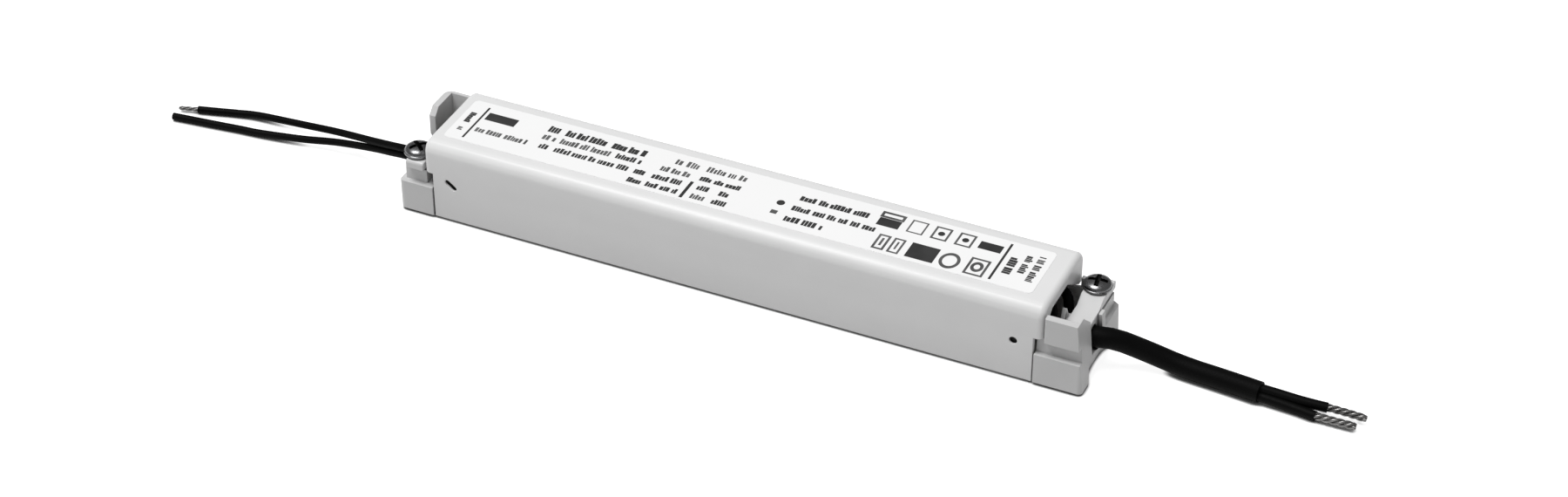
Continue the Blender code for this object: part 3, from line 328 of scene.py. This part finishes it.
outputCord = {
    "sheathDiameter": 4.2,
    "coreDiameter": 2.0,
    "strandDiameter": 1.6,
    "sheath": [
        (68.0, -1.4, 7.3), (70.0, -1.4, 7.3), (72.2, -1.4, 7.35), (74.6, -0.8, 7.35), (76.6, 0.2, 6.75),
        (79.2, 1.35, 5.5), (83.2, 2.5, 3.9), (87.3, 3.15, 2.6), (91.5, 3.1, 2.15), (96.0, 2.8, 2.13),
        (100.6, 2.4, 2.13), (104.8, 2.0, 2.13),
    ],
    "coreRear": [
        (104.3, 2.5, 2.6), (105.5, 2.6, 2.5), (108.0, 2.75, 2.3), (111.8, 2.85, 2.05), (115.0, 3.1, 1.85),
        (117.6, 3.4, 1.7),
    ],
    "coreFront": [
        (104.2, 1.5, 1.55), (105.2, 1.5, 1.5), (107.0, 1.48, 1.4), (108.9, 1.43, 1.28), (112.1, 1.3, 1.1),
        (116.1, 0.8, 1.05),
    ],
    "strandRear": [(117.2, 3.38, 1.72), (118.0, 3.46, 1.7), (121.6, 3.55, 1.6), (125.2, 3.5, 1.48)],
    "strandFront": [(115.7, 0.8, 1.08), (116.45, 0.78, 1.1), (120.4, 0.78, 1.12), (124.0, 0.84, 1.12)],
    "innerRear": [
        (67.1, -0.3, 6.7), (66.4, 1.2, 7.8), (65.7, 2.5, 9.6), (65.0, 3.4, 11.4), (64.0, 3.7, 12.2),
        (62.4, 3.9, 11.6), (60.8, 3.8, 9.6), (60.0, 3.6, 7.6), (59.4, 3.2, 5.1),
    ],
    "innerFront": [
        (67.1, -2.5, 6.7), (66.3, -4.0, 7.6), (65.5, -4.9, 9.0), (64.8, -4.0, 11.0), (64.0, -2.2, 12.2),
        (62.6, -1.8, 11.8), (61.0, -2.8, 9.8), (60.0, -3.8, 7.6), (59.5, -4.3, 5.1),
    ],
}


def smoothRoute(points, step):
    # places at even steps of about step mm along a smooth curve through the points, and its length
    route = [Vector(point) * mm for point in points]
    route = [2 * route[0] - route[1]] + route + [2 * route[-1] - route[-2]]
    dense = []
    parts = 24
    for a, b, c, d in zip(route, route[1:], route[2:], route[3:]):
        square = 2 * a - 5 * b + 4 * c - d
        cube = 3 * b - a - 3 * c + d
        for i in range(parts):
            t = i / parts
            dense.append(0.5 * (2 * b + (c - a) * t + square * t * t + cube * t ** 3))
    dense.append(route[-2])
    lengths = [0.0]
    for a, b in zip(dense, dense[1:]):
        lengths.append(lengths[-1] + (b - a).length)
    count = max(3, round(lengths[-1] / (step * mm)))
    found = []
    j = 0
    for i in range(count + 1):
        wanted = lengths[-1] * i / count
        while j < len(lengths) - 2 and lengths[j + 1] < wanted:
            j += 1
        share = (wanted - lengths[j]) / max(lengths[j + 1] - lengths[j], 1e-9)
        found.append(dense[j].lerp(dense[j + 1], share))
    return found, lengths[-1]


def roundCord(name, points, diameter, finish, node, sides=5):
    route, length = smoothRoute(points, diameter * 0.6)
    curve = bpy.data.curves.new(name, "CURVE")
    curve.dimensions = "3D"
    curve.bevel_depth = diameter / 2 * mm
    curve.bevel_resolution = sides
    curve.use_fill_caps = True
    spline = curve.splines.new("POLY")
    spline.points.add(len(route) - 1)
    for point, spot in zip(spline.points, route):
        point.co = (*spot, 1)
    spline.use_smooth = True
    obj = newObject(name, curve)
    finishPiece(obj, finish, "black_pvc", node)
    return obj, length


# Stripped ends: one wire down the middle and the others laid round it, drawn in at the end
strands = {
    "laid": 4,
    "wire": 0.215,  # a wire's radius, as a share of the bundle's diameter
    "lay": 0.285,  # how far it lies from the middle, as a share of the same
    "step": 0.25,  # mm
    "twist": 0.26,  # radians a step
    "drawnTo": 0.7,
    "drawnBack": 0.15,  # how much is won back a step
    "sides": 8,
}


def strandedTip(name, points, diameter, node):
    route = smoothRoute(points, strands["step"])[0]
    wire = diameter * strands["wire"] * mm
    lay = diameter * strands["lay"] * mm
    shape = bmesh.new()
    for strand in range(strands["laid"] + 1):
        rings = []
        for i, spot in enumerate(route):
            ahead = (route[min(i + 1, len(route) - 1)] - route[max(i - 1, 0)]).normalized()
            across = ahead.cross(Vector((0, 0, 1))).normalized()
            upward = across.cross(ahead)
            turn = strand * math.tau / strands["laid"] + i * strands["twist"]
            drawn = min(1.0, strands["drawnTo"] + strands["drawnBack"] * (len(route) - 1 - i))
            centre = spot.copy()
            if strand < strands["laid"]:
                centre += (across * math.cos(turn) + upward * math.sin(turn)) * lay * drawn
            ring = []
            for corner in range(strands["sides"]):
                angle = corner * math.tau / strands["sides"]
                out = across * math.cos(angle) + upward * math.sin(angle)
                ring.append(shape.verts.new(centre + out * wire * drawn))
            rings.append(ring)
        skinLoops(shape, rings)
    bmesh.ops.recalc_face_normals(shape, faces=shape.faces)
    obj = fromShape(name, shape)
    smoothByAngle(obj, 70)
    return finishPiece(obj, tinnedWire, "tinned_copper", node)


def addWires():
    size = wires["diameter"]
    rear, rearLength = roundCord("inputWireRear", wires["rear"], size, blackCore, "input_wire_rear")
    front, frontLength = roundCord("inputWireFront", wires["front"], size, blackCore, "input_wire_front")
    tip = strandedTip("inputWireRearTip", wires["rearTip"], wires["tipDiameter"], "input_wire_rear_tip")


def addOutputCord():
    core = outputCord["coreDiameter"]
    bundle = outputCord["strandDiameter"]
    sheath, length = roundCord(
        "outputSheath", outputCord["sheath"], outputCord["sheathDiameter"], blackSheath, "output_cord", 7
    )
    others = [
        roundCord("outputCoreRear", outputCord["coreRear"], core, blackCore, "output_core_rear")[0],
        roundCord("outputCoreFront", outputCord["coreFront"], core, blackCore, "output_core_front")[0],
        roundCord("innerCoreRear", outputCord["innerRear"], core, blackCore, "inner_core_rear")[0],
        roundCord("innerCoreFront", outputCord["innerFront"], core, blackCore, "inner_core_front")[0],
        strandedTip("outputStrandRear", outputCord["strandRear"], bundle, "output_strand_rear"),
        strandedTip("outputStrandFront", outputCord["strandFront"], bundle, "output_strand_front"),
    ]


addWires()
addOutputCord()
print("wires and cord laid")


# Case: the tray, the cover and the clamp bars keep their solids' form, with their edges rounded
case = {
    "coverEdge": 0.18,
    "trayEdge": 0.24,
    "clampEdge": 0.24,
    "sharpAngle": 32,  # degrees, from which an edge is rounded
    "weld": 0.002,
    "flatAngle": 0.6,  # degrees, under which faces are joined
    "coverCorner": 2.72,
    "endRound": 1.3,  # the cover's end edges, round its section
    "endSpare": (2.0, 0.1, 3.0),  # the rounding form's lead-in, and its spare at the sides and below
    "latches": ((59.55, 9.0), (-61.85, 9.0)),  # along the case, and up
    "latchPocket": (5.2, 2.0, 4.6, 0.5),  # length, depth, height, and the wall left over it
    "hookZone": ((57, 64), (9.75, 12), (7.5, 10.6)),  # where the latch hooks' tips are, on each side
    "hookSink": 0.45,
    "roofSink": 0.075,  # room for the label under the case's full height
    "roofBand": 1.5,
}


def cutWith(obj, cutter, operation):
    cut = obj.modifiers.new("cut", "BOOLEAN")
    cut.object = cutter
    cut.operation = operation
    cut.solver = "EXACT"
    keepResult(obj)
    bpy.data.objects.remove(cutter)


def roundEnds(obj):
    # cuts the cover with a longer form of the same section, whose two ends are rounded off
    radius = case["endRound"]
    lead, spare, below = case["endSpare"]
    low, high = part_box("top_cover")
    left, right, half, top = low[0] / mm, high[0] / mm, high[1] / mm, high[2] / mm
    quarter = [math.radians(90 * i / 8) for i in range(9)]
    stations = [(radius * (1 - math.sin(turn)), radius * (1 - math.cos(turn))) for turn in quarter]
    places = [(left + away, inset) for inset, away in stations]
    places += [(left + radius + lead, -spare), (right - radius - lead, -spare)]
    places += [(right - away, inset) for inset, away in reversed(stations)]
    shape = bmesh.new()
    loops = []
    for x, inset in places:
        corner = case["coverCorner"] - inset
        side = half - inset
        roof = top - inset
        section = [(-side, -below)]
        for turn in quarter:
            section.append((-side + corner * (1 - math.cos(turn)), roof - corner * (1 - math.sin(turn))))
        for turn in quarter:
            section.append((side - corner * (1 - math.sin(turn)), roof - corner * (1 - math.cos(turn))))
        section.append((side, -below))
        loops.append([shape.verts.new((x * mm, y * mm, z * mm)) for y, z in section])
    skinLoops(shape, loops)
    bmesh.ops.recalc_face_normals(shape, faces=shape.faces)
    cutWith(obj, fromShape("coverEnvelope", shape), "INTERSECT")


def thinLatchWalls(obj):
    # pockets inside the side walls behind the latch openings, so that these look into the case
    long, deep, tall, wall = case["latchPocket"]
    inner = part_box("top_cover")[1][1] / mm - wall
    shape = bmesh.new()
    for x, z in case["latches"]:
        for side in (-1, 1):
            made = bmesh.ops.create_cube(shape, size=1.0)["verts"]
            bmesh.ops.scale(shape, vec=(long * mm, deep * mm, tall * mm), verts=made)
            middle = side * (inner - deep / 2)
            bmesh.ops.translate(shape, vec=(x * mm, middle * mm, z * mm), verts=made)
    cutWith(obj, fromShape("latchPockets", shape), "DIFFERENCE")


def roundedCopy(node, name, edge, finish, change=None):
    shape = bmesh.new()
    shape.from_mesh(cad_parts[node].data)
    bmesh.ops.remove_doubles(shape, verts=shape.verts, dist=case["weld"] * mm)
    bmesh.ops.dissolve_limit(
        shape, angle_limit=math.radians(case["flatAngle"]), verts=shape.verts, edges=shape.edges
    )
    obj = fromShape(name, shape)
    if change:
        change(obj)
    bevel = obj.modifiers.new("edges", "BEVEL")
    bevel.width = edge * mm
    bevel.segments = 3
    bevel.limit_method = "ANGLE"
    bevel.angle_limit = math.radians(case["sharpAngle"])
    smoothByAngle(obj, case["sharpAngle"])
    keepResult(obj)
    return finishPiece(obj, finish, "white_plastic", node)


def shapeCover(obj):
    roundEnds(obj)
    thinLatchWalls(obj)


def inZone(spot, zone):
    return all(low < abs(value) < high for value, (low, high) in zip(spot, zone))


def addCase():
    cover = roundedCopy("top_cover", "coverShell", case["coverEdge"], whiteCover, shapeCover)
    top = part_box("top_cover")[1][2]
    for point in cover.data.vertices:
        share = max(0.0, 1 - (top - point.co.z) / (case["roofBand"] * mm))
        point.co.z -= share * case["roofSink"] * mm
    tray = roundedCopy("base_tray", "trayShell", case["trayEdge"], whiteTray)
    for point in tray.data.vertices:
        if inZone(point.co / mm, case["hookZone"]):
            point.co.y -= math.copysign(case["hookSink"], point.co.y) * mm
    roundedCopy("output_clamp_bar", "outputClamp", case["clampEdge"], whiteClamp)
    roundedCopy("input_clamp_bar", "inputClamp", case["clampEdge"], whiteClamp)


addCase()
print("case rounded")


# Clamp screws: pan heads with a cross recess
screw = {
    "head": 5.9,
    "height": 1.75,
    "rim": 0.45,
    "edge": 0.12,
    "bulge": 0.8,  # under 1 gives the head a fuller dome
    "shank": 2.6,
    "length": 8.6,
    "point": (0.25, 1.6),  # the tip's radius and its length
    "recess": 4.3,  # across the cross
    "slot": 0.9,
    # the recess at three heights over the head's top: height, and what the reach and half the slot gain
    "levels": ((0.6, 0.15, 0.1), (-0.715, -0.35, -0.08), (-1.3, -1.05, -0.16)),
    "recessMargin": (0.2, 0.08),  # to tell the recess's faces: beyond its reach, and below the dome
    "turn": {"output": 8, "input": 52},  # degrees
    "steps": 64,
}


def crossCutter(centre, top, turn):
    # a cross that narrows as it goes down
    shape = bmesh.new()
    rings = []
    for height, longer, wider in screw["levels"]:
        reach = screw["recess"] / 2 + longer
        half = screw["slot"] / 2 + wider
        ring = []
        for arm in range(4):
            angle = math.radians(turn + 90 * arm)
            out = Vector((math.cos(angle), math.sin(angle)))
            side = Vector((-out.y, out.x))
            for a, b in ((half, -half), (reach, -half), (reach, half)):
                spot = out * a + side * b
                x = centre[0] + spot.x
                y = centre[1] + spot.y
                ring.append(shape.verts.new((x * mm, y * mm, (top + height) * mm)))
        rings.append(ring)
    skinLoops(shape, rings)
    bmesh.ops.recalc_face_normals(shape, faces=shape.faces)
    return fromShape("crossCutter", shape)


def domeHeight(radius, under):
    share = min(1.0, radius / (screw["head"] / 2 - screw["edge"]))
    dome = math.sqrt(1 - share * share) ** screw["bulge"]
    return under + screw["rim"] + (screw["height"] - screw["rim"]) * dome


def addScrew(end):
    node = end + "_clamp_screw"
    low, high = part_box(node)
    centre = ((low[0] + high[0]) / 2 / mm, (low[1] + high[1]) / 2 / mm)
    top = high[2] / mm
    under = top - screw["height"]
    head = screw["head"] / 2
    edge = screw["edge"]
    shank = screw["shank"] / 2
    foot = under - screw["length"]
    tip, taper = screw["point"]
    profile = [(0, top)]
    for i in range(1, 9):
        radius = (head - edge) * math.sin(math.radians(11 * i))
        profile.append((radius, domeHeight(radius, under)))
    profile += [
        (head, under + screw["rim"]), (head, under + edge), (head - edge, under), (shank, under),
        (shank, foot + taper), (tip, foot), (0, foot),
    ]
    mesh = bpy.data.meshes.new(end + "Screw")
    mesh.from_pydata(
        [(radius * mm, 0, height * mm) for radius, height in profile],
        [(i, i + 1) for i in range(len(profile) - 1)], [],
    )
    obj = newObject(end + "Screw", mesh)
    obj.location = (centre[0] * mm, centre[1] * mm, 0)
    spin = obj.modifiers.new("turned", "SCREW")
    spin.steps = screw["steps"]
    spin.render_steps = screw["steps"]
    spin.use_merge_vertices = True
    spin.merge_threshold = 0.00001
    cutWith(obj, crossCutter(centre, top, screw["turn"][end]), "DIFFERENCE")
    smoothByAngle(obj, 30)
    finishPiece(obj, zincScrew, "plated_steel", node)
    # the cross recess's faces take the near-black finish: painted shade in the recess
    obj.data.materials.append(paintedRecessShade)
    beyond, below = screw["recessMargin"]
    for face in obj.data.polygons:
        spot = face.center / mm
        away = math.hypot(spot.x, spot.y)
        if under < spot.z < domeHeight(away, under) - below and away < screw["recess"] / 2 + beyond:
            face.material_index = 1


addScrew("output")
addScrew("input")
print("screws driven")


# Label: a thin film on the cover, printed with plain bars and simple shapes
label = {
    "left": -65.2,
    "right": 61.4,
    "front": -7.2,
    "back": 6.9,
    "corner": 1.0,
    "thickness": 0.06,
    "inkOver": 0.012,  # how far the print stands over the film
    "seed": 7,
}


def addLabel():
    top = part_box("top_cover")[1][2] - case["roofSink"] * mm
    shape = bmesh.new()
    corners = [
        (label["left"], label["front"], 180), (label["right"], label["front"], 270),
        (label["right"], label["back"], 0), (label["left"], label["back"], 90),
    ]
    rim = []
    radius = label["corner"]
    for x, y, start in corners:
        centreX = x + radius if x < 0 else x - radius
        centreY = y + radius if y < 0 else y - radius
        for i in range(7):
            angle = math.radians(start + 15 * i)
            rim.append(shape.verts.new((
                (centreX + radius * math.cos(angle)) * mm,
                (centreY + radius * math.sin(angle)) * mm,
                top + label["thickness"] * mm,
            )))
    face = shape.faces.new(rim)
    made = bmesh.ops.extrude_face_region(shape, geom=[face])
    lower = [item for item in made["geom"] if isinstance(item, bmesh.types.BMVert)]
    sunk = 0.9 * label["thickness"]  # the film's underside stays clear of the roof
    bmesh.ops.translate(shape, verts=lower, vec=(0, 0, -sunk * mm))
    bmesh.ops.recalc_face_normals(shape, faces=shape.faces)
    obj = fromShape("labelFilm", shape)
    smoothByAngle(obj, 30)
    finishPiece(obj, labelFilm, "white_plastic")
    return top + label["thickness"] * mm


# printed shapes, in mm; height in metres
def bar(shape, x0, x1, y0, y1, height):
    spots = [(x0, y0), (x1, y0), (x1, y1), (x0, y1)]
    shape.faces.new([shape.verts.new((x * mm, y * mm, height)) for x, y in spots])


def oval(shape, x, y, radius, height, stretch=1.0, count=32):
    turns = [i * math.tau / count for i in range(count)]
    return [
        shape.verts.new(((x + radius * math.cos(a)) * mm, (y + radius * stretch * math.sin(a)) * mm, height))
        for a in turns
    ]


def disc(shape, x, y, radius, height):
    shape.faces.new(oval(shape, x, y, radius, height))


def ring(shape, x, y, outer, inner, stretch, height):
    count = 36
    outside = oval(shape, x, y, outer, height, stretch, count)
    inside = oval(shape, x, y, inner, height, stretch, count)
    for i in range(count):
        j = (i + 1) % count
        shape.faces.new((outside[i], outside[j], inside[j], inside[i]))


def outline(shape, x0, x1, y0, y1, line, height):
    bar(shape, x0, x1, y0, y0 + line, height)
    bar(shape, x0, x1, y1 - line, y1, height)
    bar(shape, x0, x0 + line, y0 + line, y1 - line, height)
    bar(shape, x1 - line, x1, y0 + line, y1 - line, height)


def dashes(shape, chance, start, end, middle, tall, weight, upright, height):
    # a run of short plain blocks, in groups, along x or, when upright, along y
    at = start
    while at < end - 0.4:
        groupEnd = min(end, at + chance.uniform(1.6, 4.2))
        while at < groupEnd - 0.3:
            wide = chance.uniform(0.5, 0.95) * tall * 0.55
            thick = tall * chance.choice((1.0, 1.0, 0.78, 0.78, 0.9))
            low = middle - tall / 2
            stroke = wide * weight
            if upright:
                bar(shape, low, low + thick, at, at + stroke, height)
            else:
                bar(shape, at, at + stroke, low, low + thick, height)
            at += wide
        at += chance.uniform(0.4, 0.7)


# runs: (start, end, middle, tall, weight), along the case, and at its two ends across it
darkPrint = {
    "runs": [
        (-46.8, -43.7, 3.9, 2.1, 0.86), (-42.9, -33.1, 3.9, 2.1, 0.88), (-32.5, -25.5, 3.9, 2.1, 0.94),
        (-45.9, -43.4, -2.2, 1.7, 0.78), (-42.5, -26.3, -2.2, 1.7, 0.8), (-24.7, -21.5, -2.2, 1.6, 0.93),
        (-20.7, -14.1, -2.2, 1.7, 0.84), (-24.7, -21.5, -5.3, 1.6, 0.92), (-20.7, -13.9, -5.2, 1.6, 0.86),
        (-11.7, -3.1, 0.9, 1.5, 0.9), (9.1, 23.5, 3.1, 1.7, 0.88), (8.9, 26.3, -0.6, 1.6, 0.86),
        (8.9, 17.3, -4.3, 1.8, 0.84), (-30.3, -24.5, 1.0, 1.7, 0.84), (-10.9, -7.9, -2.1, 1.6, 0.82),
        (-6.1, -3.1, -2.2, 1.6, 0.84), (-6.3, -2.9, -5.2, 1.6, 0.84),
    ],
    "uprightRuns": [
        (-1.0, 3.1, -63.3, 1.3, 0.92), (-4.0, -2.6, -63.3, 1.1, 0.7), (-3.3, 2.5, 54.5, 1.7, 0.9),
        (-2.0, 3.7, 57.1, 1.5, 0.82), (-3.9, 4.7, 59.4, 1.5, 0.76),
    ],
    # left, right, front, back
    "bars": [
        (-60.4, -53.7, 1.3, 3.9), (-61.5, -61.05, -6.1, 5.4), (52.1, 52.6, -6.2, 6.1),
        (-12.9, -12.2, -6.6, -0.8), (46.6, 51.3, 2.2, 4.6), (25.8, 30.4, 1.2, 3.8), (34.8, 40.6, -6.1, -1.3),
    ],
    "discs": [(6.2, 0.0, 0.85), (38.7, 3.5, 0.7), (43.7, 3.5, 0.7)],
}
palePrint = {
    "runs": [
        (-60.3, -48.7, -2.4, 1.6, 0.8), (-46.7, -43.7, 0.9, 1.7, 0.8), (-42.7, -31.3, 0.9, 1.8, 0.8),
        (-18.5, -13.1, 4.2, 1.9, 0.72), (-11.7, -2.9, 4.3, 1.8, 0.7), (-20.3, -13.9, 0.9, 1.7, 0.8),
        (-10.9, -7.9, -5.2, 1.6, 0.78),
    ],
    "bars": [(5.5, 6.9, -3.9, -2.7), (28.9, 29.4, -4.9, -2.4), (32.1, 32.5, -4.9, -2.4)],
    # left, right, front, back, line
    "frames": [
        (25.6, 30.6, 3.9, 5.9, 0.6), (32.0, 35.4, 1.4, 5.6, 0.35), (37.0, 40.4, 1.4, 5.6, 0.45),
        (42.0, 45.4, 1.4, 5.6, 0.45), (27.9, 30.4, -6.2, -1.3, 0.5), (31.1, 33.5, -6.2, -1.3, 0.45),
        (46.9, 50.9, -6.4, -0.9, 0.5),
    ],
    # middle, outer and inner radius, stretch across the case
    "rings": [(43.4, -3.9, 2.05, 1.4, 1.25), (48.9, -3.6, 1.25, 0.6, 1.3)],
}


def addPrint(name, ink, marks, chance, height):
    shape = bmesh.new()
    for run in marks["runs"]:
        dashes(shape, chance, *run, False, height)
    for run in marks.get("uprightRuns", ()):
        dashes(shape, chance, *run, True, height)
    for draw, kind in ((bar, "bars"), (disc, "discs"), (outline, "frames"), (ring, "rings")):
        for mark in marks.get(kind, ()):
            draw(shape, *mark, height)
    finishPiece(fromShape(name, shape), ink, "black_pvc")


inkHeight = addLabel() + label["inkOver"] * mm
chance = random.Random(label["seed"])
addPrint("labelPrintDark", blackInk, darkPrint, chance, inkHeight)
addPrint("labelPrintPale", greyInk, palePrint, chance, inkHeight)
print("label laid and printed")


# Inner parts keep their solids and get their own finishes
innerFinishes = {
    "circuit_board": boardLaminate,
    "input_fuse": fuseCap,
    "surge_varistor": blueLacquer,
    "safety_capacitor": blueLacquer,
    "suppression_capacitor": filmBox,
    "snubber_capacitor": filmBox,
    "input_choke": ferriteGrey,
    "output_choke": ferriteGrey,
    "transformer_core_input_half": ferriteGrey,
    "transformer_core_output_half": ferriteGrey,
    "transformer_bobbin": bobbinBlack,
    "transformer_winding": windingTape,
    "bridge_rectifier": blackEpoxy,
    "controller_chip": blackEpoxy,
    "switching_transistor": blackEpoxy,
    "optocoupler": blackEpoxy,
    "output_diode": blackEpoxy,
    "voltage_reference": blackEpoxy,
    "bulk_capacitor_1": canSleeve,
    "bulk_capacitor_2": canSleeve,
    "output_capacitor_1": canSleeve,
    "output_capacitor_2": canSleeve,
    "startup_resistor_1": resistorBlue,
    "startup_resistor_2": resistorBlue,
}
for node, finish in innerFinishes.items():
    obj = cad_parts[node]
    for materialSlot in obj.material_slots:
        materialSlot.material = finish
print("inner parts finished")


# Studio: a pale floor that reads white to the camera and keeps the shadow, soft light from above
studio = {
    "floorSize": 6.0,  # metres
    "floorDrop": 0.05,  # mm
    "floorShade": 0.50,
    "floorGlow": 0.86,
    "gapReach": 1.2,  # mm, how near something must stand for the floor to darken under it
    "gapClosed": 0.48,  # how open the floor is where its glow ends and where it is whole
    "gapOpen": 0.80,
    "sky": 0.30,
    "sunPower": 2.5,
    "sunAngle": 32,
    "sunFrom": (-0.26, -0.20, 1.0),
}


def addFloor():
    shape = bmesh.new()
    bmesh.ops.create_grid(shape, x_segments=2, y_segments=2, size=studio["floorSize"] / 2)
    floor = fromShape("studioFloor", shape)
    floor.location.z = -studio["floorDrop"] * mm
    made = bpy.data.materials.new("studioFloor")
    made.use_nodes = True
    tree = made.node_tree
    tree.nodes.clear()
    out = tree.nodes.new("ShaderNodeOutputMaterial")
    paper = tree.nodes.new("ShaderNodeBsdfDiffuse")
    paper.inputs["Color"].default_value = (studio["floorShade"],) * 3 + (1,)
    glow = tree.nodes.new("ShaderNodeEmission")
    # painted contact shadow: the glow fades where the floor is closed in, under the case's edges and between
    # the cords
    near = tree.nodes.new("ShaderNodeAmbientOcclusion")
    near.samples = 16
    near.inputs["Distance"].default_value = studio["gapReach"] * mm
    span = tree.nodes.new("ShaderNodeMapRange")
    span.inputs["From Min"].default_value = studio["gapClosed"]
    span.inputs["From Max"].default_value = studio["gapOpen"]
    span.inputs["To Min"].default_value = 0.0
    span.inputs["To Max"].default_value = studio["floorGlow"]
    tree.links.new(near.outputs["AO"], span.inputs["Value"])
    tree.links.new(span.outputs["Result"], glow.inputs["Strength"])
    both = tree.nodes.new("ShaderNodeAddShader")
    tree.links.new(paper.outputs[0], both.inputs[0])
    tree.links.new(glow.outputs[0], both.inputs[1])
    # the glow shows to the camera, in reflections and through clear parts, and lights nothing
    rays = tree.nodes.new("ShaderNodeLightPath")
    seen = rays.outputs["Is Camera Ray"]
    for kind in ("Is Glossy Ray", "Is Transmission Ray"):
        either = tree.nodes.new("ShaderNodeMath")
        either.operation = "MAXIMUM"
        tree.links.new(seen, either.inputs[0])
        tree.links.new(rays.outputs[kind], either.inputs[1])
        seen = either.outputs[0]
    choose = tree.nodes.new("ShaderNodeMixShader")
    tree.links.new(seen, choose.inputs[0])
    tree.links.new(paper.outputs[0], choose.inputs[1])
    tree.links.new(both.outputs[0], choose.inputs[2])
    tree.links.new(choose.outputs[0], out.inputs["Surface"])
    floor.data.materials.append(made)


def addLight():
    data = bpy.data.lights.new("overheadLight", "SUN")
    data.energy = studio["sunPower"]
    data.angle = math.radians(studio["sunAngle"])
    obj = newObject("overheadLight", data)
    obj.rotation_euler = Vector(studio["sunFrom"]).to_track_quat("Z", "Y").to_euler()


def addSky():
    # lights evenly from all round, and shows as white to the camera
    world = bpy.data.worlds.new("studioSky")
    scene.world = world
    world.use_nodes = True
    tree = world.node_tree
    sky = tree.nodes["Background"]
    sky.inputs["Color"].default_value = (1, 1, 1, 1)
    sky.inputs["Strength"].default_value = studio["sky"]
    white = tree.nodes.new("ShaderNodeBackground")
    white.inputs["Strength"].default_value = 1.0
    white.inputs["Color"].default_value = (1, 1, 1, 1)
    rays = tree.nodes.new("ShaderNodeLightPath")
    choose = tree.nodes.new("ShaderNodeMixShader")
    tree.links.new(rays.outputs["Is Camera Ray"], choose.inputs[0])
    tree.links.new(sky.outputs[0], choose.inputs[1])
    tree.links.new(white.outputs[0], choose.inputs[2])
    tree.links.new(choose.outputs[0], tree.nodes["World Output"].inputs["Surface"])


addFloor()
addLight()
addSky()
scene.view_settings.view_transform = "Standard"
print("studio lit")
